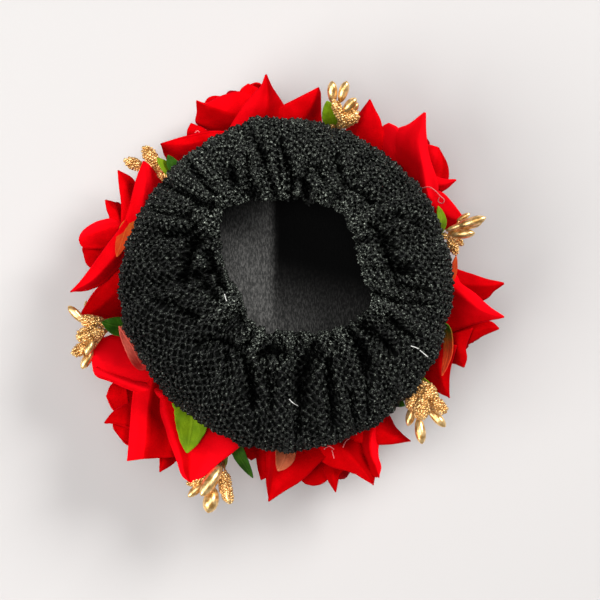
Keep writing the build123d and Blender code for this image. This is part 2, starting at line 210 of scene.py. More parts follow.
def yarn():
    """Black yarn with pale specks, partly fuzz and partly painted glints, all black under painted shade."""
    s = Shader("net_yarn", Roughness=0.5, Specular_IOR_Level=0.16)
    at = s.coords()
    # Pale specks, partly pale fuzz of the yarn and partly painted glints.
    fuzz_and_glints = s.ramp(
        s.noise(at, 1900.0, 2.0, 0.8),
        (0.44, YARN_BLACK),
        (0.54, (0.0070, 0.0084, 0.0070)),
        (0.61, (0.135, 0.154, 0.128)),
        (0.71, (0.66, 0.72, 0.61)),
    )
    # Painted shade: the attribute darkens the yarn to black.
    s.color(s.mix(s.attribute("painted_shade"), fuzz_and_glints, YARN_BLACK))
    s.link(s.ramp(s.noise(at, 1500.0), (0.3, grey(0.35)), (0.7, grey(0.75))), s.bsdf.inputs["Roughness"])
    s.bump(s.noise(at, 5200.0, 2.0, 0.8), 0.6, 0.0001)
    return s.mat


# Near-black sheet just inside the knit: painted shade that shows through the holes of the net.
def shade_sheet():
    s = Shader("net_shade_sheet", Roughness=0.9, Specular_IOR_Level=0.05)
    fuzz = s.noise(s.coords(), 1400.0, 3.0, 0.7)
    s.color(s.ramp(fuzz, (0.35, (0.0008, 0.001, 0.0008)), (0.75, (0.006, 0.0065, 0.006))))
    s.bump(fuzz, 0.6, 0.0003)
    return s.mat


def woven():
    """Ribbed cloth, grey where painted light falls and black in painted shadow."""
    s = Shader("panel_weave", Roughness=0.7, Specular_IOR_Level=0.03)
    ribs = s.noise(s.coords((2600, 900, 900)), 1.0, 2.0, 0.6)
    cloud = s.noise(s.coords(), 60.0, 3.0)
    dark = s.ramp(cloud, (0.3, (0.035, 0.035, 0.034)), (0.7, (0.060, 0.060, 0.058)))
    lit = s.mix(s.math("MULTIPLY", s.math("SUBTRACT", ribs, 0.42), 2.4), dark, (0.22, 0.215, 0.205))
    # The attribute mixes the cloth from black painted shadow to its lit look: painted light and shade.
    s.color(s.mix(s.attribute("painted_light"), grey(0.0008), lit))
    s.bump(ribs, 0.55, 0.0002)
    return s.mat


def leaf_cloth(name, main, deep, vein, blush=None):
    """Leaf cloth with paler veins; the blush colors it towards its base."""
    s = Shader(name, Roughness=0.55, Sheen_Weight=0.03, Sheen_Roughness=0.5, Specular_IOR_Level=0.06)
    at = s.coords()
    base = s.ramp(s.noise(at, 260.0, 3.0), (0.3, deep), (0.7, main))
    if blush:
        uneven = s.math("ADD", s.attribute("along"), s.math("MULTIPLY", s.noise(at, 300.0, 2.0), 0.25))
        base = s.mix(s.ramp(uneven, (0.50, grey(1)), (0.76, grey(0))), base, blush)
    lines = s.attribute("vein")
    s.color(s.mix(s.math("MULTIPLY", lines, 0.22), base, vein))
    threads = s.noise(s.coords((3800, 3800, 3800)), 1.0, 2.0)
    s.bump(s.math("ADD", threads, s.math("MULTIPLY", lines, 1.5)), 0.4, 0.00015)
    return s.mat


def gold(name, color, rough, grain):
    s = Shader(name, Metallic=0.78, Roughness=rough, Coat_Weight=0.12, Coat_Roughness=0.2)
    at = s.coords()
    deep = tuple(share * c for share, c in zip((0.55, 0.42, 0.25), color))
    s.color(s.ramp(s.noise(at, 620.0, 2.0), (0.36, deep), (0.58, color)))
    s.bump(s.noise(at, grain, 2.0, 0.6), 0.25, 0.0001)
    return s.mat


def thread(name, color):
    s = Shader(name, Roughness=0.7, Sheen_Weight=0.2)
    s.color(s.ramp(s.noise(s.coords(), 2500.0), (0.3, dim(0.7, color)), (0.7, color)))
    return s.mat


VELVET = velvet("rose_velvet", (0.50, 0.0003, 0.0012), (0.92, 0.0010, 0.0045))
# A darker copy of the velvet: painted shade for the hub and the heart of each rose, deep under the petals.
VELVET_SHADED = velvet("rose_velvet_shaded", (0.28, 0.0003, 0.002), (0.52, 0.0006, 0.004))
YARN = yarn()
SHADE_SHEET = shade_sheet()
WOVEN = woven()
LEAF_COLORS = {
    # main, deep, vein, and the blush where there is one
    "lime": ((0.22, 0.34, 0.006), (0.12, 0.22, 0.004), (0.28, 0.40, 0.02)),
    "green": ((0.035, 0.12, 0.005), (0.010, 0.045, 0.002), (0.08, 0.16, 0.015)),
    "orange": ((0.62, 0.065, 0.010), (0.46, 0.030, 0.006), (0.85, 0.26, 0.04), (0.52, 0.09, 0.010)),
    "autumn": ((0.66, 0.05, 0.010), (0.42, 0.018, 0.006), (0.85, 0.24, 0.05), (0.06, 0.13, 0.010)),
    "pink": ((0.62, 0.10, 0.07), (0.50, 0.06, 0.04), (0.66, 0.14, 0.09), (0.34, 0.012, 0.010)),
    "salmon": ((0.50, 0.12, 0.05), (0.36, 0.07, 0.03), (0.60, 0.22, 0.10)),
}
LEAF = {cloth: leaf_cloth(f"leaf_{cloth}", *colors) for cloth, colors in LEAF_COLORS.items()}
GOLD_COLOR = (0.98, 0.66, 0.29)
GOLD = gold("gold_smooth", GOLD_COLOR, 0.30, 1500.0)
GOLD_ROUGH = gold("gold_beads", GOLD_COLOR, 0.28, 3500.0)
STEM = thread("stem_lime", (0.24, 0.32, 0.01))
LINT_WHITE = thread("lint_white", (0.80, 0.80, 0.76))
LINT_RED = thread("lint_red", (0.85, 0.20, 0.20))
WIRE = gold("gold_wire", (0.80, 0.48, 0.18), 0.3, 2500.0)


# Mesh helpers
UP = np.array([0, 0, 1.0])


def unit(v):
    return v / np.maximum(np.linalg.norm(v, axis=-1, keepdims=True), 1e-9)


def square_to(heading):
    """Two directions at right angles to a heading, or to each heading along a line."""
    steep = abs(np.atleast_2d(heading)[0][2]) >= 0.9
    first = unit(np.cross(heading, [1.0, 0, 0] if steep else UP))
    return first, np.cross(heading, first)


def full_turn(count):
    return np.linspace(0, 2 * np.pi, count, endpoint=False)


def spokes(first, second, turn):
    """Directions at each turn (radians) from a first one round to a second one at right angles to it."""
    return first * np.cos(turn)[:, None] + second * np.sin(turn)[:, None]


def fade(value, start, span):
    """0 up to a start and 1 from a span after it, with an even rise between."""
    return np.clip((value - start) / span, 0, 1)


def curve(table, column):
    """Smooth function through one column of a table whose first column is the place."""
    xs = np.array([row[0] for row in table], float)
    ys = np.array([row[column] for row in table], float)
    slope = np.gradient(ys, xs)

    def at(x):
        x = np.clip(np.asarray(x, float), xs[0], xs[-1])
        i = np.clip(np.searchsorted(xs, x, side="right") - 1, 0, len(xs) - 2)
        h = xs[i + 1] - xs[i]
        t = (x - xs[i]) / h
        return (
            (2 * t**3 - 3 * t**2 + 1) * ys[i]
            + (t**3 - 2 * t**2 + t) * h * slope[i]
            + (3 * t**2 - 2 * t**3) * ys[i + 1]
            + (t**3 - t**2) * h * slope[i + 1]
        )

    return at


def through(points, count):
    """Evenly many points on a smooth line through a few points."""
    p = np.array(points, float)
    p = np.concatenate([[2 * p[0] - p[1]], p, [2 * p[-1] - p[-2]]])
    out = []
    for u in np.linspace(0, len(p) - 3 - 1e-6, count):
        i, t = int(u), u - int(u)
        a, b, c, d = p[i : i + 4]
        bend = (2 * a - 5 * b + 4 * c - d) * t**2 + (3 * b - a - 3 * c + d) * t**3
        out.append(0.5 * (2 * b + (c - a) * t + bend))
    return np.array(out)


def wobble(points, scale, seed):
    """Smooth noise at each point (mm), between about -1 and 1."""
    flat = np.asarray(points, float).reshape(-1, 3)
    out = [noise.noise((x / scale + seed, y / scale - seed, z / scale + 2 * seed)) for x, y, z in flat]
    return np.array(out).reshape(np.asarray(points).shape[:-1])


def crumple(points, waves, seed=0):
    """Sum of wobbles; each row of waves is a depth, a size (mm) and a seed."""
    return sum(depth * wobble(points, size, seed + shift) for depth, size, shift in waves)


# Places seen from above are counted in steps of 0.3 mm right and down, at the height of the rim.
STEP, STEP_X, STEP_Y, RIM_Z = 0.3, 287, 284, 33.0
FIRST_Z, SEEN_ROUNDS = 25.0, 6


def at_height(x, y, z):
    """Right and up (mm) of the place at height z that shows at (x, y) from above."""
    flat = np.array([(x - STEP_X) * STEP, (STEP_Y - y) * STEP])
    return np.array(EYE[:2]) + (flat - EYE[:2]) * (EYE[2] - z) / (EYE[2] - RIM_Z)


def seen(x, y, z):
    """Place at height z that shows at (x, y) from above."""
    return np.array([*at_height(x, y, z), z])


def as_seen(points):
    """Where points show from above, as arrays of x and y."""
    flat = EYE[:2] + (points[..., :2] - EYE[:2]) * ((EYE[2] - RIM_Z) / (EYE[2] - points[..., 2:]))
    return STEP_X + flat[..., 0] / STEP, STEP_Y - flat[..., 1] / STEP


def seen_point(bearing, x, y, ahead):
    """Point of a rose that shows at (x, y) from above and lies that far ahead of its hub."""
    z = FIRST_Z
    for _ in range(SEEN_ROUNDS):
        place = at_height(x, y, z)
        z = HUB_HEIGHT + place @ around(bearing)[:2] - HUB_CIRCLE - 2 * np.sin(DIP) * ahead
    return np.array([*place, z])


def grid_faces(rows, columns, closed=False):
    """Quads of a grid of points, joined from its last column to its first where it is closed."""
    faces = []
    for row in range(rows - 1):
        for column in range(columns if closed else columns - 1):
            a, b = row * columns + column, row * columns + (column + 1) % columns
            faces.append([a, b, b + columns, a + columns])
    return faces


def body_faces(rings, sides, flip=False):
    """Faces of a round body: quads between its rings and one cap on each end."""
    caps = [list(range(sides))[::-1], [(rings - 1) * sides + i for i in range(sides)]]
    faces = grid_faces(rings, sides, closed=True) + caps
    return [face[::-1] for face in faces] if flip else faces


class Shape:
    """Points and faces gathered into one mesh, in millimetres."""

    def __init__(self):
        self.points, self.faces, self.slots, self.values = [], [], [], []
        self.count = 0

    def add(self, points, faces, slot=0, value=None):
        points = np.asarray(points, float).reshape(-1, 3)
        self.points.append(points)
        self.faces += [[i + self.count for i in face] for face in faces]
        self.slots += [slot] * len(faces)
        self.values.append(np.zeros(len(points)) if value is None else np.asarray(value, float).reshape(-1))
        self.count += len(points)

    def grid(self, points, closed=False, value=None):
        self.add(points, grid_faces(*points.shape[:2], closed), value=value)

    def make(self, name, materials, nodes, attribute=None, thick=0.0, smooth=0):
        mesh = bpy.data.meshes.new(name)
        mesh.from_pydata(np.concatenate(self.points) * MM, [], self.faces)
        for material in materials:
            mesh.materials.append(material)
        mesh.polygons.foreach_set("material_index", self.slots)
        mesh.polygons.foreach_set("use_smooth", [True] * len(self.faces))
        if attribute:
            set_values(mesh, attribute, np.concatenate(self.values))
        mesh.update()
        obj = add_object(name, mesh)
        if thick:
            solid = obj.modifiers.new("thickness", "SOLIDIFY")
            solid.thickness = thick * MM
            solid.offset = 0
        if smooth:
            sub = obj.modifiers.new("smooth", "SUBSURF")
            sub.levels = sub.render_levels = smooth
        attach(obj, "root")
        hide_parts(*nodes)
        return obj


def set_values(mesh, name, values):
    """Gives a mesh one named value for each of its points."""
    layer = mesh.attributes.new(name, "FLOAT", "POINT")
    layer.data.foreach_set("value", values.astype(np.float32))


def tube(shape, line, radius, sides=6, slot=0):
    """Round tube along a line of points; radius is one number or one for each point."""
    line = np.asarray(line, float)
    first, second = square_to(unit(np.gradient(line, axis=0)))
    radius = np.broadcast_to(np.asarray(radius, float), (len(line),))
    ring = line[:, None] + radius[:, None, None] * spokes(first[:, None], second[:, None], full_turn(sides))
    shape.add(ring, body_faces(len(line), sides), slot)


# Cap
CAP_RADIUS, CAP_HEIGHT, FOLD_DEPTH = 50.0, 22.0, 3.4
CREASE, SLOPE = -4.5, np.tan(np.radians(3.0))
MOUTH_RADIUS, MOUTH_CENTRE = 19.6, np.array([0.9, 5.1, 0])
DISC_HEIGHT, DISC_RADIUS = 25.52, 47.8
NET_LENGTH, NET_SINK, BACKING_SINK = 42.0, 0.45, 0.42

NET_ROWS = [
    # place, swell, inward, height, fold
    (0.00, 0.985, 0.00, 0.02, 0.00),
    (0.05, 1.000, 0.00, 0.13, 0.10),
    (0.12, 1.008, 0.01, 0.29, 0.22),
    (0.19, 1.008, 0.04, 0.46, 0.38),
    (0.28, 1.004, 0.12, 0.63, 0.58),
    (0.38, 1.000, 0.24, 0.78, 0.78),
    (0.51, 1.000, 0.40, 0.90, 0.95),
    (0.64, 1.000, 0.57, 0.97, 1.00),
    (0.77, 1.000, 0.74, 1.00, 1.00),
    (0.88, 1.000, 0.89, 0.97, 0.95),
    (0.95, 1.000, 0.98, 0.89, 0.85),
    (1.00, 1.000, 1.00, 0.78, 0.75),
]
FOLDS = [
    # bearing, half_width, depth
    (3, 5, 0.55), (18, 6, 1.00), (37, 5, 0.60), (56, 6, 0.85), (74, 5, 0.55), (88, 4, 0.60), (101, 5, 1.00),
    (121, 6, 0.60), (143, 6, 0.70), (165, 7, 1.00), (184, 6, 0.95), (206, 6, 0.65), (231, 6, 0.75),
    (257, 6, 1.00), (279, 5, 0.95), (297, 5, 0.65), (315, 5, 0.95), (329, 5, 1.00), (347, 4, 0.60),
]
MOUTH = [
    # bearing, reach
    (0, 1.09), (16, 1.06), (30, 1.09), (43, 1.14), (54, 1.14), (70, 1.03), (90, 1.04), (108, 1.08),
    (124, 1.21), (138, 1.36), (150, 1.26), (160, 1.14), (171, 1.05), (183, 1.01), (195, 0.93), (212, 0.89),
    (223, 0.96), (236, 1.03), (250, 1.05), (270, 1.00), (287, 1.06), (302, 1.16), (316, 1.27), (332, 1.36),
    (340, 1.33), (350, 1.17), (360, 1.09),
]
PROUD = [
    # bearing, extra_radius
    (0, 0.0), (12, -0.2), (24, -0.5), (36, -0.8), (48, -1.3), (66, -1.2), (78, -0.4), (90, 0.3), (97, 0.8),
    (102, 2.0), (106, 0.3), (114, -0.5), (124, -1.0), (134, -1.6), (144, -1.4), (153, -0.9), (162, 0.0),
    (174, 0.6), (184, 1.1), (196, 0.6), (205, -0.4), (218, -1.1), (230, -0.7), (241, -0.8), (247, -0.3),
    (256, 1.0), (268, 0.8), (276, 1.2), (288, 0.3), (302, -0.1), (318, 0.1), (330, 0.4), (342, -0.2),
    (352, -0.4), (360, 0.0),
]
VALLEYS = [
    # route, half_width, depth
    (((252, 132), (257, 141), (265, 151)), 5.5, 1.0),
    (((281, 138), (286, 155), (291, 178), (292, 200)), 4, 0.9),
    (((301, 178), (306, 190), (311, 202)), 5, 0.9), (((231, 158), (235, 180)), 3.5, 0.6),
    (((245, 150), (249, 172), (256, 196)), 4, 0.8), (((257, 186), (258, 200)), 7, 0.8),
    (((188, 162), (198, 175), (213, 192)), 4, 0.7),
    (((160, 179), (180, 188), (198, 200), (214, 206)), 4, 0.8),
    (((148, 205), (165, 211), (186, 213)), 4, 0.6), (((158, 231), (180, 232), (196, 225)), 4.5, 0.8),
    (((179, 280), (184, 260), (190, 244), (199, 238)), 7, 1.2),
    (((186, 268), (203, 280), (214, 294)), 9, 1.0), (((208, 252), (214, 268), (223, 288)), 5, 0.9),
    (((374, 226), (388, 236), (398, 245)), 4, 0.8),
    (((385, 245), (390, 257), (398, 268), (413, 270)), 7, 1.3),
    (((354, 186), (366, 192), (376, 199)), 4.5, 0.7), (((320, 160), (322, 178)), 3.5, 0.6),
    (((339, 150), (344, 178)), 3.5, 0.6), (((222, 335), (231, 326), (240, 317)), 5.5, 0.9),
    (((196, 346), (214, 342), (232, 346)), 5, 0.8), (((238, 352), (249, 342)), 5, 0.8),
    (((224, 376), (228, 360)), 5, 0.8), (((246, 358), (248, 378), (251, 395), (250, 414)), 5, 1.0),
    (((262, 356), (272, 350), (286, 352)), 6, 0.9),
    (((314, 352), (306, 368), (298, 385), (300, 402)), 8.5, 1.3), (((298, 412), (297, 440)), 3.5, 0.6),
    (((328, 362), (331, 385), (333, 410), (335, 430)), 5, 0.9),
    (((359, 344), (364, 360), (369, 380)), 7.5, 1.2), (((370, 392), (372, 414)), 4, 0.6),
    (((366, 327), (380, 340), (397, 355)), 5, 1.1), (((392, 317), (410, 331), (421, 338)), 4.5, 0.8),
    (((352, 396), (358, 425)), 3.5, 0.5), (((400, 285), (430, 290)), 3.5, 0.6),
    (((400, 212), (428, 222)), 3.5, 0.5), (((150, 300), (172, 306), (192, 318)), 5, 0.6),
    (((270, 375), (272, 410)), 3.5, 0.5), (((395, 300), (436, 306)), 3, 0.5),
]
SIDE_SHADE = [
    # bearing, share of black as painted shade, heaviest towards the lower left
    (0, 0.64), (45, 0.66), (90, 0.48), (135, 0.48), (180, 0.92), (225, 0.88), (270, 0.80), (315, 0.68),
    (360, 0.64),
]

# Small forms of the net. Depths are in mm, bends and sways in degrees, waves are counted round the cap, and
# starts and spans are places from the disc (0) to the mouth (1). Those of the painted shade are depths.
VALLEY_DEPTH, VALLEY_START = 6.5, 0.14
FOLD_SWAY, FOLD_FLARE, FOLD_NARROWING = 5.0, 1.25, 0.45
BEND, BEND_WAVES, SWAY, SWAY_WAVES = 1.6, (9, 14), 1.0, (31,)
GATHER_START, GATHER_SPAN = 0.12, 0.5
RUFFLES, RUFFLE_DEPTH, RUFFLE_DRIFT = 36, 3.2, 0.62
DRIFT_WAVES, DEPTH_WAVES, DEPTH_SHARE = (5, 8, 13), (6, 11, 17), 0.6
CRUMPLE_DEPTH = 1.4
CRUMPLES = [
    # depth, size, seed
    (0.9, 4.2, 3.1), (0.9, 8.5, 7.7), (0.5, 2.1, 5.5),
]
RIM_DEPTH, RIM_SPAN, RIM_WAVES = 0.45, 0.3, (23, 37)
# The lip's share of black is low: painted light on the ruffles of the mouth.
LIP_START, LIP_SPAN, LIP_SHADE = 0.72, 0.2, 0.20
FRINGE_START, FRINGE_SPAN, FRINGE_REACH, FRINGE_BACK = 0.8, 0.15, 1.9, 1.3
# Painted shade: black from a fold depth in mm over a span in mm, and in the valleys.
SHADE_START, SHADE_SPAN, VALLEY_SHADE = 1.6, 4.6, 1.1

# Knit: threads round the cap and rows from the disc to the mouth, each with so many steps of the net's grid
THREADS, KNIT_ROWS, GRID_STEPS, THREAD_SIDES = 180, 37, 4, 4
BACKING_COLUMNS, BACKING_ROWS, STEP_BEARING = 480, 90, 40.0
THREAD_SWAY, THREAD_LIFT, STRAY_LIFT, JITTER = 1.25, 0.26, 0.10, 0.10
THREAD_RADIUS, KNOT_RADIUS, UNEVEN_RADIUS, KNOT_TONE = 0.30, 0.22, 0.18, 0.25


def valley_depth(points):
    """How deep each point lies in the valleys, as a share of VALLEY_DEPTH."""
    x, y = as_seen(points)
    deep = np.zeros_like(x)
    for route, half_width, depth in VALLEYS:
        for (x0, y0), (x1, y1) in zip(route, route[1:]):
            across, down = x1 - x0, y1 - y0
            share = np.clip(((x - x0) * across + (y - y0) * down) / (across**2 + down**2), 0, 1)
            apart = np.hypot(x - x0 - share * across, y - y0 - share * down)
            deep = np.maximum(deep, depth * np.exp(-((apart / half_width) ** 2)))
    return deep


def underside(x):
    """Height of the disc's lower face, which rises to both sides of its crease."""
    return DISC_HEIGHT + np.abs(x - CREASE) * SLOPE


def around(bearing):
    a = np.radians(np.asarray(bearing, float))
    return np.stack([np.cos(a), np.sin(a), np.zeros_like(a)], -1)


def at_bearing(table, bearing):
    """Value at each bearing from a table of bearings and values."""
    return np.interp(bearing % 360, *zip(*table))


def ripple(bearing, counts, seed):
    """Sum of a few uneven waves round the cap, between about -1 and 1."""
    a = np.radians(bearing)
    total = np.zeros_like(a)
    for k, count in enumerate(counts):
        total += np.sin(count * a + 1.7 * seed + 2.3 * k + 0.8 * np.sin((2 + k) * a + seed)) / len(counts)
    return total


def net_surface(bearing, place):
    """Points of the net before its folds, and how deep it folds, at bearings and places from 0 to 1."""
    swell, inward, height, fold = (curve(NET_ROWS, column)(place) for column in (1, 2, 3, 4))
    proud = at_bearing(PROUD, bearing) * np.clip(8 * place, 0, 1)
    rim = around(bearing) * (CAP_RADIUS * swell + proud)[..., None]
    mouth = MOUTH_CENTRE + around(bearing) * (at_bearing(MOUTH, bearing) * MOUTH_RADIUS)[..., None]
    flat = rim + (mouth - rim) * inward[..., None]
    z = underside(rim[..., 0]) + CAP_HEIGHT * height
    return np.stack([flat[..., 0], flat[..., 1], z], -1), fold


def outward(points):
    """Outward direction at each point of a grid that is closed round the cap."""
    along = np.gradient(points, axis=0)
    onward = np.roll(points, -1, axis=1) - np.roll(points, 1, axis=1)
    return unit(np.cross(onward, along))


def even_places(rows):
    """Places from the disc to the mouth with evenly long steps between them, measured at one bearing."""
    fine = np.linspace(0, 1, 400)
    line, _ = net_surface(np.full(len(fine), STEP_BEARING), fine)
    run = np.concatenate([[0], np.cumsum(np.linalg.norm(np.diff(line, axis=0), axis=1))])
    return np.interp(np.linspace(0, run[-1], rows), run, fine)


def fold_depth(bearing, place):
    """How deep the large folds are, as a share of FOLD_DEPTH."""
    deep = np.zeros_like(bearing)
    for valley, half_width, depth in FOLDS:
        middle = valley + FOLD_SWAY * np.sin(3 * place + valley) * (place - 0.5)
        apart = (bearing - middle + 180) % 360 - 180
        deep += depth * np.exp(-((apart / (half_width * (FOLD_FLARE - FOLD_NARROWING * place))) ** 2))
    return deep


def net_grid(columns, rows):
    """Folded grid of the net from disc to mouth: points, outward directions, places and how black painted
    shade makes each.
    """
    bearing = np.linspace(0, 360, columns, endpoint=False)
    place, bearing = np.meshgrid(even_places(rows), bearing, indexing="ij")
    # The gathers bend the columns a little.
    bend = BEND * ripple(bearing, BEND_WAVES, 3.0) * np.sin(np.pi * place)
    bend = bend + SWAY * ripple(bearing, SWAY_WAVES, 1.0) * place
    points, fold = net_surface(bearing + bend, place)
    direction = outward(points)
    # Small ruffles: round tops with narrow creases between them, of uneven width and depth
    drift = RUFFLE_DRIFT * ripple(bearing, DRIFT_WAVES, 2.0) * (0.8 + 0.7 * place)
    phase = RUFFLES * np.radians(bearing) / (2 * np.pi) + drift
    crease = 1 - np.sqrt(np.abs(np.sin(np.pi * phase)) + 0.004)
    deep = 1.0 + DEPTH_SHARE * ripple(bearing, DEPTH_WAVES, 4.0)
    gather = fade(place, GATHER_START, GATHER_SPAN)
    valley = valley_depth(points)
    drop = FOLD_DEPTH * fold_depth(bearing, place) * fold + RUFFLE_DEPTH * deep * gather**2 * crease
    drop = drop + CRUMPLE_DEPTH * (0.25 + gather) * (0.5 + crumple(points, CRUMPLES))
    drop = drop + VALLEY_DEPTH * valley * np.clip(place / VALLEY_START, 0, 1)
    rim = RIM_DEPTH * np.sin(np.pi * np.clip(place / RIM_SPAN, 0, 1)) * ripple(bearing, RIM_WAVES, 5.0)
    # At the mouth the folds sink down and the ruffles reach inwards.
    lip = fade(place, LIP_START, LIP_SPAN)[..., None]
    sink = unit(direction * (1 - lip) + UP * lip)
    points = points - sink * (drop + rim + NET_SINK)[..., None]
    inwards = unit((MOUTH_CENTRE - points) * [1, 1, 0])
    fringe = fade(place, FRINGE_START, FRINGE_SPAN) * (FRINGE_REACH * (1 - crease) - FRINGE_BACK) * deep
    points = points + inwards * fringe[..., None]
    # Painted shade makes the cloth black in the valleys and darker towards the lower left; painted light
    # brightens the ruffles of the mouth.
    valley_shade = np.maximum(fade(drop, SHADE_START, SHADE_SPAN) ** 0.8, VALLEY_SHADE * valley_depth(points))
    side_shade = at_bearing(SIDE_SHADE, bearing)
    side_shade = side_shade + (LIP_SHADE - side_shade) * lip[..., 0]
    return points, outward(points), place, np.clip(np.maximum(valley_shade, side_shade), 0, 1)


def knit(shape, first):
    """Every second thread of an openwork knit, swaying to both neighbours by turns, over and under."""
    steps, columns = GRID_STEPS * KNIT_ROWS, GRID_STEPS * THREADS
    points, direction, _, painted_shade = net_grid(columns, steps)
    step = np.arange(steps)
    phase = np.pi * step / GRID_STEPS
    meets = np.abs(np.cos(phase))
    turn = full_turn(THREAD_SIDES)
    uneven = np.random.default_rng(11 + first)
    for thread in range(first, THREADS, 2):
        sway = np.cos(phase) * (1 if thread % 2 else -1)
        at = (thread + 0.5) * GRID_STEPS + THREAD_SWAY * sway
        low = np.floor(at).astype(int)
        part = (at - low)[:, None]
        a, b = points[step, low % columns], points[step, (low + 1) % columns]
        up = direction[step, low % columns]
        lift = THREAD_LIFT * np.cos(phase + np.pi * (thread // 2 % 2))
        lift = lift + STRAY_LIFT * np.sin(1.2 * step + thread)
        line = a + (b - a) * part + up * lift[:, None] + JITTER * uneven.standard_normal((steps, 3))
        run = unit(np.gradient(line, axis=0))
        side = unit(np.cross(run, up))
        top = np.cross(side, run)
        radius = THREAD_RADIUS + KNOT_RADIUS * meets + UNEVEN_RADIUS * uneven.random(steps)
        round_it = spokes(side[:, None], top[:, None], turn)
        ring = line[:, None] + radius[:, None, None] * round_it
        # Painted shade of the net, lighter on the knots and darker between them.
        tone = painted_shade[step, low % columns] + KNOT_TONE * (1 - 2 * meets)
        shape.grid(ring, closed=True, value=np.repeat(np.clip(tone, 0, 1), THREAD_SIDES))


def net_shade_sheet():
    """Thin near-black sheet inside the knit, from the panel to the mouth: painted shade seen through the
    holes.
    """
    points, direction, _, _ = net_grid(BACKING_COLUMNS, BACKING_ROWS)
    shape = Shape()
    shape.grid(points - direction * BACKING_SINK, closed=True)
    return shape.make("net_inside", [SHADE_SHEET], ["net_cover"])


def net_knit(number):
    shape = Shape()
    knit(shape, number - 1)
    return shape.make(f"net_knit_{number}", [YARN], ["net_cover"], attribute="painted_shade")


inside = net_shade_sheet()
knits = [net_knit(number) for number in (1, 2)]


# Panel at the bottom of the cap, with its crease
PANEL_STEPS, PANEL_MIDDLE, PANEL_THICKNESS = 81, 0.9, 1.1
CREASE_RIDGE, CREASE_FADE, RIGHT_SHARE, CREASE_WIDTH = 0.5, 3.0, 0.2, 2.4
# Painted light and shade of the panel: darkening left of the crease towards the top, light right of it at the
# bottom, least light in its shadow.
LEFT_TOP_SHADE, RIGHT_LIGHT, LEAST_LIGHT = 0.62, 0.60, 0.001


def panel():
    shape = Shape()
    u, v = np.meshgrid(*[np.linspace(-1, 1, PANEL_STEPS)] * 2, indexing="ij")
    p = np.stack([u * np.sqrt(1 - v**2 / 2), v * np.sqrt(1 - u**2 / 2), 0 * u], -1) * DISC_RADIUS
    x, y = p[..., 0] - CREASE, p[..., 1]
    p[..., 2] = DISC_HEIGHT + PANEL_MIDDLE + SLOPE * np.sqrt(x**2 + 0.3) + 0.25 * wobble(p, 16.0, 1.0)
    p[..., 2] += CREASE_RIDGE * np.exp(-np.abs(x) / CREASE_FADE) * np.where(x < 0, 1.0, RIGHT_SHARE)
    # Painted light and shade: left of the crease the cloth is lit and darkens towards the top, right of it
    # the cloth is lit at the bottom and falls into deep black painted shadow towards the top.
    left = 1.0 - LEFT_TOP_SHADE * fade(y, -9, 34) ** 2
    right = RIGHT_LIGHT * (1 - fade(y + 0.25 * x, -11, 21)) ** 1.8 + LEAST_LIGHT
    mix = fade(x, -CREASE_WIDTH / 2, CREASE_WIDTH)
    painted_light = left + (right - left) * mix + 0.08 * wobble(p, 7.0, 4.0) * (1 - mix)
    shape.grid(p, value=np.clip(painted_light, 0, 1))
    return shape.make("panel_cloth", [WOVEN], ["crown_disc"], attribute="painted_light", thick=PANEL_THICKNESS)


panel()


# Roses
DIP, HUB_CIRCLE, HUB_HEIGHT = np.radians(45.0), 45.0, 20.98
SEAT_GAP, HUB_RADIUS, HUB_FRONT = 0.3, 4.5, 5.0
KNOB_SIDES, KNOB_END, KNOB = 20, 0.5, [(0, 4.4), (3, 4.3), (4.9, 3.8)]
PETAL_CUP, LAYER_GAP, LEAST_HALF_WIDTH, PETAL_THICKNESS = 3.5, 1.6, 0.35, 0.5
WHORLS = {
    # reach, width, rise, start ahead of the hub, spine of (along, forward, cup)
    "outer": (25.0, 21.0, 7.0, 0, [
        (0.12, 0.15, 0.10), (0.34, 0.70, 0.40), (0.62, 0.95, 0.80), (0.84, 0.85, 0.50), (1.00, 0.57, 0.05),
    ]),
    "middle": (16.0, 16.0, 7.5, 5.3, [
        (0.18, 0.08, 0.10), (0.42, 0.45, 0.55), (0.75, 0.90, 0.90), (1.00, 0.80, 0.05),
    ]),
    "heart": (6.4, 8.2, 9.0, 10.6, [
        (0.00, 0.05, 0.55), (0.45, 0.40, 1.00), (0.80, 0.75, 0.95), (1.00, 1.00, 0.20),
    ]),
}
HEART_START = WHORLS["heart"][3]
CUTS = {
    # reach and width as shares of the whorl's, breadth of the tip, crease, curl
    "low": (0.86, 0.80, 0.20, 0.3, 0.15),
    "floor": (0.995, 0.85, 0.35, 0.3, 0.10),
    "inner": (0.85, 0.95, 0.30, 0.2, 0.15),
    "flank": (0.80, 0.95, 0.35, 0.2, 0.15),
    "broad": (0.80, 1.00, 0.35, 0.2, 0.15),
    "creased": (0.80, 0.80, 0.35, 0.8, 0.05),
    "wrap": (1.0, 1.0, 0.5, 0.0, 0.15),
}
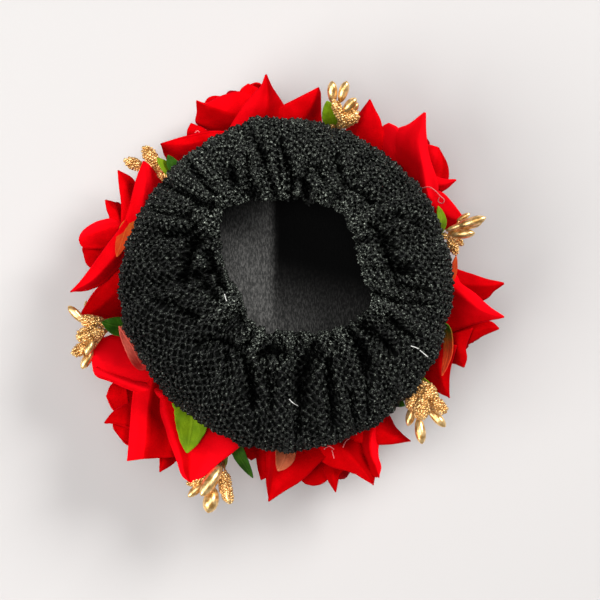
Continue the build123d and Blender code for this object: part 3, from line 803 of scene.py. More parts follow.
ROSES = [
    # bearing, outer petals below those that show, middle petals: turn, layer, cut, seed
    (105, [(132, 1, "low", 3), (-132, 0, "low", 4), (180, 0, "floor", 5)],
     [(77, 1, "creased", 1), (140, 0, "inner", 2), (-150, 1, "inner", 3), (-70, 0, "broad", 4)]),
    (45, [(132, 1, "low", 3), (-132, 1, "low", 4), (180, 0, "floor", 5)],
     [(140, 1, "inner", 3), (-140, 0, "inner", 4)]),
    (-15, [(132, 1, "low", 3), (-132, 1, "low", 4), (180, 0, "floor", 5)],
     [(75, 1, "flank", 2), (140, 0, "inner", 3), (-130, 0, "inner", 4)]),
    (-75, [(132, 1, "low", 3), (-128, 1, "low", 4), (180, 0, "floor", 5)],
     [(72, 0, "flank", 2), (140, 1, "inner", 3), (-135, 0, "inner", 4)]),
    (-135, [(132, 0, "low", 3), (-132, 1, "low", 4), (180, 0, "floor", 5)],
     [(110, 1, "inner", 3), (-140, 0, "inner", 4)]),
    (165, [(132, 1, "low", 4), (-132, 0, "low", 5), (180, 0, "floor", 6)],
     [(85, 1, "flank", 2), (145, 0, "inner", 3), (-125, 0, "inner", 4)]),
]
WRAP_TURNS = (20, 140, 260)
WRAP_REACH = [
    # along, share of the reach
    (0, 0.55), (0.45, 0.95), (0.8, 1.0), (1, 0.85),
]
# Breadth of a petal along its length, before the round end at its tip
OUTLINE = [(0.10, 0.28), (0.32, 0.76), (0.62, 1.00), (0.84, 0.84)]
ROUND_END, ROUND_SHARE = 0.22, 0.93
# Soft waves of the velvet: depth, size, seed
PETAL_WAVES, UPPER_WAVES = [(0.55, 7.0, 0), (0.12, 3.0, 5)], [(0.45, 6.0, 0), (0.12, 2.6, 9)]
ROLL_TURNS, ROLL_RADIUS, ROLL_GROWTH, ROLL_HEIGHT, ROLL_SLANT, ROLL_WAVE = 2.6, 0.7, 3.0, 9.4, 1.4, 0.35
ROLL_STEPS, ROLL_ROWS, ROLL_FOOT, ROLL_BELLY = 64, 9, 0.82, 0.30


def rose_frame(bearing):
    """Hub of a rose and its directions: ahead, up and to the side."""
    out = around(bearing)
    ahead = out * np.cos(DIP) - np.array([0, 0, np.sin(DIP)])
    up = out * np.sin(DIP) + np.array([0, 0, np.cos(DIP)])
    return out * HUB_CIRCLE + np.array([0, 0, HUB_HEIGHT]), ahead, up, around(bearing + 90)


def petal(shape, axes, whorl, turn, layer, cut, seed, rows=27, columns=21):
    """One velvet petal with a round tip, a ridge along its middle and slightly rolled edges."""
    hub, ahead, up, side = axes
    full_reach, full_width, rise, start, spine = WHORLS[whorl]
    reach, width, tip, crease, curl = CUTS[cut]
    heading = up * np.cos(np.radians(turn)) + side * np.sin(np.radians(turn))
    across = np.cross(ahead, heading)
    first = spine[0][0]
    s = np.linspace(first, 1, rows) ** 0.9
    s = first + (1 - first) * (s - s[0]) / (s[-1] - s[0])
    along = np.interp(s, *zip(*WRAP_REACH)) if whorl == "heart" else s
    breadth = curve([*OUTLINE, (1.0, tip)], 1)(0.1 + 0.9 * s if whorl == "heart" else s)
    breadth = breadth * np.sqrt(1 - ROUND_SHARE * fade(s, 1 - ROUND_END, ROUND_END) ** 2.5)
    forward = start + rise * curve(spine, 1)(s) + LAYER_GAP * layer * along
    centre = hub + heading * (reach * full_reach * along)[:, None] + ahead * forward[:, None]
    half = np.maximum(width * full_width / 2 * breadth, LEAST_HALF_WIDTH)
    lift = unit(np.cross(np.gradient(centre, axis=0), across))
    t = np.linspace(-1, 1, columns)
    bowl = (1 - crease) * t**2 + crease * (np.sqrt(t**2 + 0.01) - 0.1)
    cup = curve(spine, 2)(s) * half / (full_width / 2)
    depth = PETAL_CUP * cup[:, None] * bowl * (1 + 0.5 * crease)
    roll = curl * half[:, None] * fade(np.abs(t), 0.7, 0.3) ** 2 * fade(s, 0.3, 0.5)[:, None]
    flat = centre[:, None] + across * (half[:, None] * t)[..., None]
    points = flat + lift[:, None] * (depth - roll)[..., None]
    waves = crumple(points, PETAL_WAVES, seed) * np.clip(s * 3 - 0.8, 0, 1)[:, None]
    shape.grid(points + lift[:, None] * waves[..., None])


def heart_roll(shape, axes):
    """Rolled strip of velvet at the heart of a rose."""
    hub, ahead, up, side = axes
    turn = np.linspace(0, ROLL_TURNS * 2 * np.pi, ROLL_STEPS)
    v = np.linspace(0, 1, ROLL_ROWS)
    share = turn / turn[-1]
    belly = ROLL_FOOT + ROLL_BELLY * np.sin(np.pi * v * 0.9)
    radius = (ROLL_RADIUS + ROLL_GROWTH * share)[:, None] * belly
    height = 0.2 + (ROLL_HEIGHT - ROLL_SLANT * share + ROLL_WAVE * np.sin(3.1 * turn))[:, None] * v
    round_it = spokes(up, side, turn)[:, None]
    shape.grid(hub + ahead * (HEART_START + height)[..., None] + radius[..., None] * round_it)


def hub_knob(shape, axes, rings):
    """Closed round base along a rose's axis; rings are (forward, radius)."""
    hub, ahead, up, side = axes
    round_it = spokes(up, side, full_turn(KNOB_SIDES))
    rows = [hub + ahead * forward + radius * round_it for forward, radius in rings]
    shape.add(np.array(rows), body_faces(len(rows), KNOB_SIDES, flip=True))


# Upward petals of the roses
# These petals show round the net from above. Each is three lines from its base to its tip: one edge, the
# ridge and the other edge. A point is its place as seen from above, in steps of 0.3 mm right and down, and
# how far ahead of the hub it lies along the rose's axis, in millimetres. Softness rounds the ridge.
UPPER = {
    1: [
        # left edge, ridge, right edge, tip, softness
        ([(250, 135, 3), (215, 131, 3.5), (187, 136, 4)],
         [(245, 146, 1.5), (210, 141, 2), (184, 145, 3)],
         [(230, 168, 4.5), (200, 168, 5.5), (174, 164, 6.5), (165, 155, 6.5)], (160.5, 144, 5.5), 0.15),
        ([(187, 142, 7), (187.5, 131, 7.5)],
         [(200, 140, 6), (196, 131, 6.8)],
         [(216, 140, 7.5), (205, 129, 8)], (191, 123.5, 8.5), 0.3),
        ([(235, 137, 9), (214, 132, 9), (196.5, 124, 9.5), (197, 112, 9)],
         [(252, 121, 6), (232, 114, 6.5), (212, 107, 7.5)],
         [(264, 100, 9.5), (242, 91.5, 10.5), (222, 95.5, 10.5), (206, 102.5, 9.5)], (196.5, 101, 9), 0.2),
        ([(238, 110, 10), (240, 92, 11)],
         [(250, 105, 9), (249, 93, 10.5)],
         [(263, 105, 10), (261, 91, 11)], (248, 84, 12), 0.6),
        ([(222, 142, 3.5), (237, 115, 4.5), (253, 94.5, 5), (261, 86, 5)],
         [(262, 136, 0.4), (267, 113, 1.2), (268, 94, 3)],
         [(316, 132, 4), (291, 113, 5), (278, 95.5, 5.5), (270.5, 83, 5.2)], (266, 74.5, 5), 0.06),
        ([(250, 137, 2.5), (268, 115, 3.5), (284, 105, 4), (302, 96, 4.5)],
         [(288, 142, -0.2), (302, 121, 0.8), (313, 103, 2.6)],
         [(328, 148, 2.5), (322, 123, 3.5), (321.5, 106, 4.5), (321, 94, 4.6)], (318.5, 87.5, 4.5), 0.08),
    ],
    2: [
        ([(328, 150, 3), (344, 131, 3.8), (357, 116.5, 4.3)],
         [(346, 156, 0.2), (356, 132, 1.2), (365, 113, 3)],
         [(388, 168, 4.5), (385, 145, 5.5), (381, 122, 5.5), (375, 110, 5)], (370, 99.5, 4.6), 0.08),
        ([(380, 168, 4), (381, 148, 5.2), (381.5, 129, 6.4)],
         [(391, 168, 4), (391, 150, 5), (390, 134, 6.2)],
         [(408, 168, 6), (404, 150, 6.6), (399, 130, 7.2)], (389, 123, 7), 0.5),
        ([(383, 178, 5.5), (386, 152, 6.5), (394, 131, 7.5), (409, 123.5, 7)],
         [(428, 198, 0.6), (422, 167, 1.6), (419, 143, 2.8), (423, 124, 4.4)],
         [(436, 206, 3.6), (438, 183, 4.6), (430, 158, 5.2), (426.5, 138, 5.5)], (425, 112.5, 5.8), 0.07),
        ([(412, 178, 6.6), (419, 156, 7.6), (425, 145, 8.8)],
         [(430, 182, 5.8), (436, 162, 7.6)],
         [(438, 198, 7), (448, 181, 8.4), (447.5, 165, 9.4)], (438, 147.5, 9.8), 0.7),
        ([(424, 170, 5.5), (440, 178, 6.5)],
         [(424, 184, 4.2), (441, 184.5, 5.4)],
         [(430, 197, 6), (445, 190, 7)], (456, 180, 8.5), 0.1),
        ([(403, 178, 3), (425, 187.5, 3.6), (442, 192.5, 4.6), (454, 205, 5.6)],
         [(398, 196, 0.2), (422, 200, 1), (440, 211, 2.4), (452, 218, 4.4)],
         [(400, 219, 3.5), (425, 219, 4.5), (440, 229, 5.8), (452, 228, 7)], (464, 219, 7), 0.25),
    ],
    3: [
        ([(438, 261, 4), (458, 269, 4.6), (480, 276.5, 5.6)],
         [(440, 281, 2.5), (465, 285, 3.6), (487, 286, 5.2)],
         [(445, 303, 4.5), (468, 304, 5.6), (486, 299, 6.4), (494, 291, 6.8)], (504, 283.5, 7.4), 0.2),
        ([(438, 258, 3), (458, 276, 3.6), (472, 289, 4.8), (487, 304.5, 6)],
         [(436, 276, 0.4), (454, 288, 1.4), (470, 302, 2.8), (485, 312, 5)],
         [(440, 338, 5.5), (458, 330, 5.5), (475, 324, 6.2), (490, 320.5, 7)], (504, 317, 7.8), 0.06),
        ([(450, 322, 6.8), (475, 321, 7.4), (490, 321.5, 8.6)],
         [(450, 336, 6), (472, 332, 7), (487, 328, 8.4)],
         [(448, 354, 7.4), (465, 346.5, 8), (480, 337, 8.8)], (499, 328.5, 9.6), 0.12),
        ([(473, 328, 5.5), (466, 346, 6.6), (466.5, 358, 8)],
         [(457, 333, 4.2), (458, 349, 5), (460, 359, 7)],
         [(438, 345, 5.5), (446, 362, 6.6), (455, 364, 7.8)], (464, 367, 9), 0.15),
        ([(422, 338, 3), (418, 360, 3.6), (427, 378, 4.6), (437, 391, 5.8)],
         [(440, 343, 1), (439, 364, 2.2), (443, 383, 4.2)],
         [(457, 345, 3.6), (451, 366, 4.6), (448.5, 382, 5.8)], (449.5, 398, 7), 0.12),
    ],
    4: [
        ([(368, 398, 2.4), (388, 413, 3.4), (395, 426, 4.4), (403, 434, 5)],
         [(358, 414, 0.2), (376, 426, 1.4), (393, 437, 3.4)],
         [(346, 440, 3.4), (371, 444.5, 4.6), (392, 444, 5.6)], (410.5, 441, 6.4), 0.15),
        ([(338, 425, 3.5), (355, 439, 5.6), (365, 458, 6.8), (373, 475, 8)],
         [(376, 418, 0.8), (371, 436, 1.4), (371, 453, 2.8), (376, 467, 5.6)],
         [(388, 425, 4.5), (378, 444, 5.4), (377, 456, 6.2), (380.5, 467, 7.2)], (379, 477.5, 8.6), 0.06),
        ([(308, 452, 5), (330, 466, 6.6), (352, 472, 7.8), (363, 478, 8.4)],
         [(323, 430, 0.8), (341, 446, 2.2), (357, 463, 4.6), (367, 475, 7.2)],
         [(345, 425, 3.5), (358, 441, 4.6), (367, 459, 6.8), (374, 474, 8.2)], (373.5, 485, 9.4), 0.08),
        ([(318, 452, 8.4), (326, 474, 10)],
         [(334, 452, 7.2), (333, 474, 9.2)],
         [(352, 462, 8.6), (339, 476, 10.2)], (335.5, 492, 12.4), 0.15),
        ([(293, 458, 9), (299, 476, 10.8), (305, 483, 12)],
         [(313, 458, 8.4), (313, 475, 10.6)],
         [(338, 465, 9), (329, 478, 10.8), (322, 483.5, 12)], (313, 485.5, 12.6), 0.8),
        ([(267, 433, 3.2), (267, 455, 4), (267, 478, 5.6)],
         [(279, 433, 0.2), (277, 456, 1.4), (273, 480, 4)],
         [(352, 436, 4.5), (324, 459, 5.4), (302, 480, 6.8), (284, 491, 7.6)], (269, 501.5, 8.2), 0.07),
        ([(255, 438, 4.8), (257, 460, 6)],
         [(265, 438, 3.8), (264, 460, 5)],
         [(278, 445, 5), (268, 474, 7)], (261, 480, 8.2), 0.15),
        ([(242, 438, 6.2), (244, 452, 7)],
         [(253, 438, 5.4), (253, 450, 6.2)],
         [(265, 445, 6.2), (259, 455, 7)], (251, 460, 8.2), 0.4),
    ],
    5: [
        ([(150, 322, 3.4), (126, 332, 4.6), (108, 337, 5.6), (97, 340, 6.4), (92, 347, 6.6)],
         [(168, 370, 0), (142, 367, 1), (118, 366, 2.6), (103, 365, 4.6)],
         [(172, 398, 4.4), (150, 393, 5.4), (130, 388, 6.4), (112, 380.5, 7), (97, 376.5, 7.4),
          (93, 368, 7.2)],
         (91.5, 357, 6.8), 0.3),
        ([(166, 390, 2.8), (150, 383, 3.6), (130, 377, 4.6), (112, 371, 5.4), (99, 367, 6)],
         [(165, 396, 2), (148, 389, 2.8), (128, 382, 3.8), (110, 375.5, 4.8), (98, 371, 5.6)],
         [(163, 402, 4.2), (146, 395, 4.8), (126, 388, 5.8), (110, 381, 6.6), (97, 376, 7)],
         (93, 370, 6.6), 0.4),
        ([(150, 384, 9), (126, 384, 10.5)],
         [(155, 410, 8.4), (130, 410, 10.4)],
         [(160, 440, 9), (131, 436, 10.8)], (118, 410, 11.6), 0.7),
        ([(126, 384, 10), (113, 383, 11)],
         [(128, 400, 9.4), (117, 397, 10.8)],
         [(130, 416, 10.2), (114, 411, 11.4)], (106.5, 396, 12.6), 0.6),
        ([(132, 402, 9.4), (115, 411, 10.4)],
         [(132, 415, 8.8), (117, 417, 10.2)],
         [(136, 430, 9.6), (115, 424, 11)], (104.5, 423, 12.6), 0.15),
        ([(125, 412, 10.6), (113, 424, 11.6)],
         [(133, 425, 9.6), (123, 431, 11.2)],
         [(142, 440, 10.4), (129, 445.5, 11.6)], (119, 436, 12.8), 0.6),
        ([(136, 374, 5.5), (132, 404, 6.8), (129.5, 435, 8.4), (127, 461, 10)],
         [(155, 376, 1.8), (149, 404, 3), (147, 435, 5.4), (144, 459, 8.6)],
         [(172, 388, 5), (172, 415, 6), (178, 440, 7), (181, 457, 8.8)], None, 0.08),
        ([(158, 445, 10), (160, 460, 11.4)],
         [(168, 445, 9.4), (165, 461, 11)],
         [(182, 450, 10.2), (177, 460, 11.6)], (160, 472, 13.4), 0.2),
        ([(160, 376, 3.4), (157, 403, 4.4), (165, 430, 6), (176, 457, 7.6), (182, 475, 8.6)],
         [(180, 384, 0), (176, 405, 0.8), (183, 430, 1.8), (189, 455, 3.6), (189, 472, 6.4)],
         [(256, 424, -4), (247, 440, -5), (235, 451, -3.5), (219, 463, 0.6), (204, 476, 5.2)],
         (190.5, 482.5, 8.6), 0.2),
    ],
    6: [
        ([(123, 228, 2.6), (130, 204, 2.2), (136, 180, 1.6)],
         [(140, 228, 0.2), (143, 205, -0.6), (145, 182, -0.8)],
         [(170, 218, 2.6), (169, 198, 2.2), (162, 180, 1.6), (152, 168, 1)], (143.5, 161, 0.4), 0.1),
        ([(121, 232, 5), (121.5, 205, 6), (119.5, 186, 7)],
         [(132, 232, 3.2), (131, 206, 4.4), (126, 186, 6.2)],
         [(146, 228, 5.4), (143, 200, 6.6), (134, 179.5, 7.6)], (118, 170.5, 8.6), 0.15),
        ([(112, 238, 7.4), (110, 219, 8.6), (107, 209, 9.6)],
         [(122, 230, 6.2), (117, 213, 7.4), (111, 206, 9.2)],
         [(134, 226, 7.8), (122, 204.5, 9), (114, 201.5, 10)], (105.5, 200, 11.2), 0.12),
        ([(138, 214, 6.4), (115, 218.5, 8.2), (98, 222, 9.6), (87, 228, 10.6), (81, 234, 11.2)],
         [(138, 225, 4.2), (115, 227, 5.4), (98, 231, 7.6), (88, 235, 9.6)],
         [(136, 248, 6.4), (116, 248, 7.6), (98, 248, 9.4), (86, 248, 11), (81, 245, 11.4)],
         (79, 240, 11.6), 0.12),
        ([(130, 242, 8.8), (106, 242, 10.2), (88, 243, 11.4), (83, 248, 12)],
         [(132, 254, 7.4), (108, 255, 9), (90, 256, 10.8)],
         [(132, 268, 8.4), (112, 270, 9.6), (96, 270, 11), (87, 264, 12.2)], (84, 256, 12.6), 0.5),
        ([(138, 202, 2.4), (121, 227, 3), (105, 248, 4.4), (90, 269, 6), (80, 282, 7.6)],
         [(140, 224, 0), (124, 244, 0.8), (109, 263, 2.4), (92, 280, 5.2)],
         [(140, 255, 3.4), (122, 264, 4.4), (105, 281, 6), (88, 289.5, 8)], (70.5, 292, 9.6), 0.07),
        ([(132, 250, 4.6), (112, 273, 5.8), (94, 292, 7.2), (86, 305, 8)],
         [(138, 272, 2.4), (120, 288, 3.4), (104, 303, 5), (90, 313, 7.2)],
         [(148, 320, 4.8), (125, 319, 5.8), (105, 318, 7), (92, 318.5, 8)], (78.5, 318, 9.2), 0.1),
    ],
}

# Painted light (above 0) and painted shade (below 0) on each of these petals, from its left edge over the two
# sides of its ridge to its right edge
FACET_LIGHT = {
    1: [(0.1, 0.0, 0.1, 0.0), (0.0, 0.0, 0.0, 0.0), (-0.4, -0.5, 0.2, 0.2), (0.1, 0.0, 0.0, 0.1),
        (0.4, 0.2, -0.5, -0.3), (0.1, 0.1, -0.6, -0.8)],
    2: [(0.5, 0.3, 0.2, 0.1), (0.8, 0.8, 0.8, 0.8), (0.9, 0.5, 0.9, 0.7), (0.4, 0.6, 0.2, -0.4),
        (0.6, 0.5, 0.4, 0.4), (0.5, 0.6, 0.5, 0.4)],
    3: [(0.1, 0.1, -0.6, -0.8), (0.9, 0.5, 0.4, 0.2), (-0.1, -0.1, -0.4, -0.4), (-0.2, -0.2, -0.3, -0.3),
        (0.1, 0.1, 0.0, -0.2)],
    4: [(0.0, 0.0, -0.2, -0.3), (-0.9, -0.9, 0.6, 0.6), (-0.4, -0.5, -0.9, -0.9), (-0.8, -0.8, -0.6, -0.6),
        (-0.8, -0.8, -0.8, -0.8), (-0.6, -0.9, -0.4, -0.7), (-0.6, -0.6, -0.6, -0.6),
        (-0.9, -0.9, -0.9, -0.9)],
    5: [(0.9, 0.9, 0.6, 0.7), (0.2, 0.8, 0.8, 0.4), (-0.3, -0.3, -0.3, -0.3), (-0.1, -0.1, -0.1, -0.1),
        (-0.3, -0.3, -0.3, -0.3), (-0.3, -0.3, -0.3, -0.3), (0.5, 0.4, -0.6, 0.0), (-0.5, -0.5, -0.5, -0.5),
        (0.7, -0.4, 0.4, 0.7)],
    6: [(0.3, 0.4, 0.5, 0.8), (0.1, 0.0, -0.4, -0.5), (0.1, 0.0, -0.6, -0.6), (0.8, 0.4, 0.1, -0.1),
        (-0.6, -0.5, -0.5, -0.5), (0.3, 0.4, 0.1, -0.2), (-0.2, -0.4, -0.5, -0.7)],
}
TONE_PLACES, FOOT_SHADE = (-0.65, -0.45, -0.08, 0.08, 0.45, 0.65), 0.15
HEM, HEM_START = 0.35, 0.82


def upper_petal(shape, bearing, left, ridge, right, tip, soft, facet_light, seed, rows=27, columns=21):
    """Velvet petal through its two edges and its ridge."""
    lines = [[*line, tip] if tip else line for line in (left, ridge, right)]
    a, m, b = (through([seen_point(bearing, *point) for point in line], rows) for line in lines)
    chord = b - a
    q = np.clip(((m - a) * chord).sum(1) / np.maximum((chord**2).sum(1), 1e-6), 0.15, 0.85)[:, None, None]
    t = np.linspace(-1, 1, columns)[None, :, None]
    place = np.where(t < 0, q * (1 + t), q + (1 - q) * t)
    rise = m - (a + chord * q[:, 0])
    arch = (np.sqrt(t**2 + soft**2) - soft) / (np.sqrt(1 + soft**2) - soft)
    points = a[:, None] + chord[:, None] * place + rise[:, None] * (1 - arch)
    normal = unit(np.cross(np.gradient(points, axis=0), np.gradient(points, axis=1)))
    s = np.linspace(0, 1, rows)[:, None]
    waves = crumple(points, UPPER_WAVES, seed) * (1 - 0.6 * s)
    hem = HEM * fade(np.abs(t[..., 0]), HEM_START, 1 - HEM_START) ** 2 * np.minimum(1, 4 * (1 - s))
    # Painted light and shade across the petal, with painted shade towards its foot.
    shade = np.interp(t[0, :, 0], TONE_PLACES, np.repeat(facet_light, (1, 2, 2, 1))) - FOOT_SHADE * (1 - s) ** 3
    shape.grid(points + normal * (waves + hem)[..., None], value=np.clip(shade, -1, 1))


def open_petals(number, bearing, axes, low_petals):
    shape = Shape()
    for k, (row, facet_light) in enumerate(zip(UPPER[number], FACET_LIGHT[number], strict=True)):
        upper_petal(shape, bearing, *row, facet_light, 2.9 * number + 1.3 * k)
    for *row, seed in low_petals:
        petal(shape, axes, "outer", *row, 3.7 * number + seed)
    name, node = f"rose_{number}_open_petals", f"rose_{number}_outer"
    made = shape.make(name, [VELVET], [node], "shade", PETAL_THICKNESS)


def rose_base(number, axes):
    hub = axes[0]
    back = HUB_RADIUS - (underside(hub[0]) - SEAT_GAP - hub[2]) / np.sin(DIP)
    shape = Shape()
    hub_knob(shape, axes, [(back, KNOB_END), (back + 0.05, 4.1), *KNOB, (HUB_FRONT, KNOB_END)])
    shape.make(f"rose_{number}_base", [VELVET_SHADED], [f"rose_{number}_outer"])


def inner_petals(number, axes, rows):
    shape = Shape()
    for *row, seed in rows:
        petal(shape, axes, "middle", *row, 5.1 * number + seed + 20)
    name, node = f"rose_{number}_inner_petals", f"rose_{number}_middle"
    made = shape.make(name, [VELVET], [node], thick=PETAL_THICKNESS)


def bud(number, axes):
    shape = Shape()
    heart_roll(shape, axes)
    for k, turn in enumerate(WRAP_TURNS):
        petal(shape, axes, "heart", turn, 0, "wrap", 7.7 * number + k + 50, rows=15, columns=15)
    made = shape.make(f"rose_{number}_bud", [VELVET_SHADED], [f"rose_{number}_heart"], thick=PETAL_THICKNESS)


for number, (bearing, low_petals, middle_petals) in enumerate(ROSES, 1):
    axes = rose_frame(bearing)
    open_petals(number, bearing, axes, low_petals)
    rose_base(number, axes)
    inner_petals(number, axes, middle_petals)
    bud(number, axes)


# Leaves
LEAF_THICKNESS, LEAF_ROOT, LEAF_FOLD, CLOTH_THICKNESS = 0.8, 46.8, 0.5, 0.35
LEAF_STEPS, LEAF_COLUMNS, LEAST_LEAF_HALF = 31, 17, 0.15
TEETH, TOOTH_DEPTH, LEAF_WAVE = 9, 0.06, 0.5
RIB_GAP, RIB_SLANT, RIB_STRENGTH, MIDRIB_HALF, VEIN_HEIGHT = 2.1, 1.3, 0.6, 0.28, 0.12
# Base, middle and tip of each leaf are places seen from above, with their height. The width is in steps too.
LEAVES = [
    # name, base, middle, tip, width, roll, base_breadth, cloth
    ("leaf_lime_top", (334, 128, 25), (331, 115, 28), (327, 101, 31), 20, 0, 0.3, "lime"),
    ("leaf_green_right", (436, 233, 25), (441, 222, 27), (438, 206, 29), 17, 45, 0.3, "lime"),
    ("leaf_orange_right", (447, 284, 25), (453, 272, 26), (456, 256, 27), 15, 55, 0.3, "orange"),
    ("leaf_autumn_right", (446, 328, 25), (448, 352, 28), (442, 376, 31), 14, 50, 0.3, "autumn"),
    ("leaf_yellow_low_right", (415, 376, 25), (426, 384, 26), (439, 396, 27), 16, 62, 0.3, "lime"),
    ("leaf_green_low_right", (388, 397, 25), (396, 401, 26), (405, 406, 27), 12, 0, 0.5, "green"),
    ("leaf_orange_bottom", (286, 444, 25), (285, 457, 28), (278, 471, 31), 21, 0, 0.8, "salmon"),
    ("leaf_green_bottom", (233, 436, 24), (240, 456, 22), (253, 478, 23), 14, 10, 1.5, "green"),
    ("leaf_lime_low_left", (190, 398, 25), (192, 421, 28), (187, 453, 31), 36, 0, 1.25, "lime"),
    ("leaf_pink_left", (142, 364, 25), (132, 346, 28), (119, 326, 30), 17, 10, 0.4, "pink"),
    ("leaf_green_left", (128, 327, 25), (116, 326, 26), (102, 322, 27), 20, 10, 0.9, "green"),
    ("leaf_orange_left", (129, 224, 25), (123, 239, 27), (117, 257, 29), 17, 30, 0.4, "orange"),
    ("leaf_yellow_top_left", (171, 172, 25), (165, 166, 26), (157, 158, 27), 16, 50, 0.6, "lime"),
    ("leaf_green_top_left", (178, 170, 25), (173, 165, 26), (168, 155, 27), 14, 20, 0.6, "green"),
]
LEAF_SPINE = [
    # along, breadth
    (0.0, 0.30), (0.25, 0.70), (0.55, 1.00), (0.78, 0.80), (0.93, 0.38), (1.0, 0.04),
]


def leaf(name, base, middle, tip, width, roll, base_breadth, cloth):
    """One cloth leaf from its root under the disc, with a toothed edge, a fold and raised veins."""
    base, middle, tip = seen(*base), seen(*middle), seen(*tip)
    root = unit(base * [1, 1, 0]) * LEAF_ROOT
    root[2] = underside(root[0]) - SEAT_GAP - LEAF_THICKNESS / 2
    centre = through([root, base, middle, tip], LEAF_STEPS)
    s = np.linspace(0, 1, LEAF_STEPS)
    t = np.linspace(-1, 1, LEAF_COLUMNS)
    run = np.gradient(centre, axis=0)
    across = unit(np.cross(UP, run))[:, None]
    upright = unit(np.cross(run[:, None], across))
    across = across * np.cos(np.radians(roll)) + upright * np.sin(np.radians(roll))
    length = np.linalg.norm(np.diff(centre, axis=0), axis=1).sum()
    half_width = width * STEP / 2
    saw = 1 + TOOTH_DEPTH * (np.abs((s * TEETH) % 1 - 0.5) * 2 - 0.5)
    wide_base = base_breadth * np.clip(1.5 * (1 - s), 0, 0.85) * np.clip(4 * s, 0, 1)
    breadth = np.maximum(curve(LEAF_SPINE, 1)(s), wide_base)
    half = np.maximum(breadth * saw * half_width, LEAST_LEAF_HALF)[:, None]
    drop = LEAF_FOLD * (1 - np.abs(t)) * np.clip(half / 3, 0, 1)
    points = centre[:, None] + across * (half * t)[..., None] - UP * drop[..., None]
    points[..., 2] += LEAF_WAVE * fade(s, 0.3, 0.3)[:, None] * wobble(points, 3.5, len(name) + root[0])
    slant = (s[:, None] * length - RIB_SLANT * np.abs(t) * half) / RIB_GAP
    ribs = np.clip(1 - np.abs((slant % 1) - 0.5) * 9, 0, 1) * (np.abs(t) > 0.08)
    midrib = np.clip(1 - np.abs(t) * half / MIDRIB_HALF, 0, 1)
    vein = np.clip(RIB_STRENGTH * ribs + midrib, 0, 1)
    points[..., 2] += VEIN_HEIGHT * vein
    shape = Shape()
    shape.grid(points, value=vein)
    made = shape.make(f"{name}_cloth", [LEAF[cloth]], [name], "vein", CLOTH_THICKNESS, smooth=1)
    set_values(made.data, "along", np.repeat(s, len(t)))


for row in LEAVES:
    leaf(*row)


# Gold bunches
BUNDLE_RADIUS, BUNDLE_LENGTH, BUNDLE_CIRCLE = 1.2, 5.0, 45.5
WIRES, WIRE_RADIUS, WIRE_CIRCLE, WIRE_TWIST, WIRE_SIDES = 5, 0.5, 0.62, 4.5, 8
STEM_RADIUS, STEM_OVERLAP = 0.3, 1.2
BUD = [
    # along, swell
    (0.0, 0.25), (0.06, 0.50), (0.2, 0.80), (0.4, 0.97), (0.6, 1.0), (0.78, 0.86), (0.91, 0.55), (0.98, 0.22),
    (1.0, 0.02),
]
CONE = [(0.0, 0.35), (0.2, 0.70), (0.45, 0.98), (0.7, 1.0), (0.9, 0.66), (1.0, 0.25)]
# Crust of beads over the core of a cone, with random shifts of each bead
CORE_SHARE, CRUST_SHARE, CRUST_LENGTH, RING_GAP, BEAD_GAP = 0.8, 0.86, 0.95, 0.72, 0.86
BEAD_LEAST, BEAD_SPREAD, TURN_JITTER, AHEAD_JITTER = 0.30, 0.30, 0.25, 0.35
LEAST_OUT, OUT_JITTER, LIFT_JITTER = 0.92, 0.22, 0.15
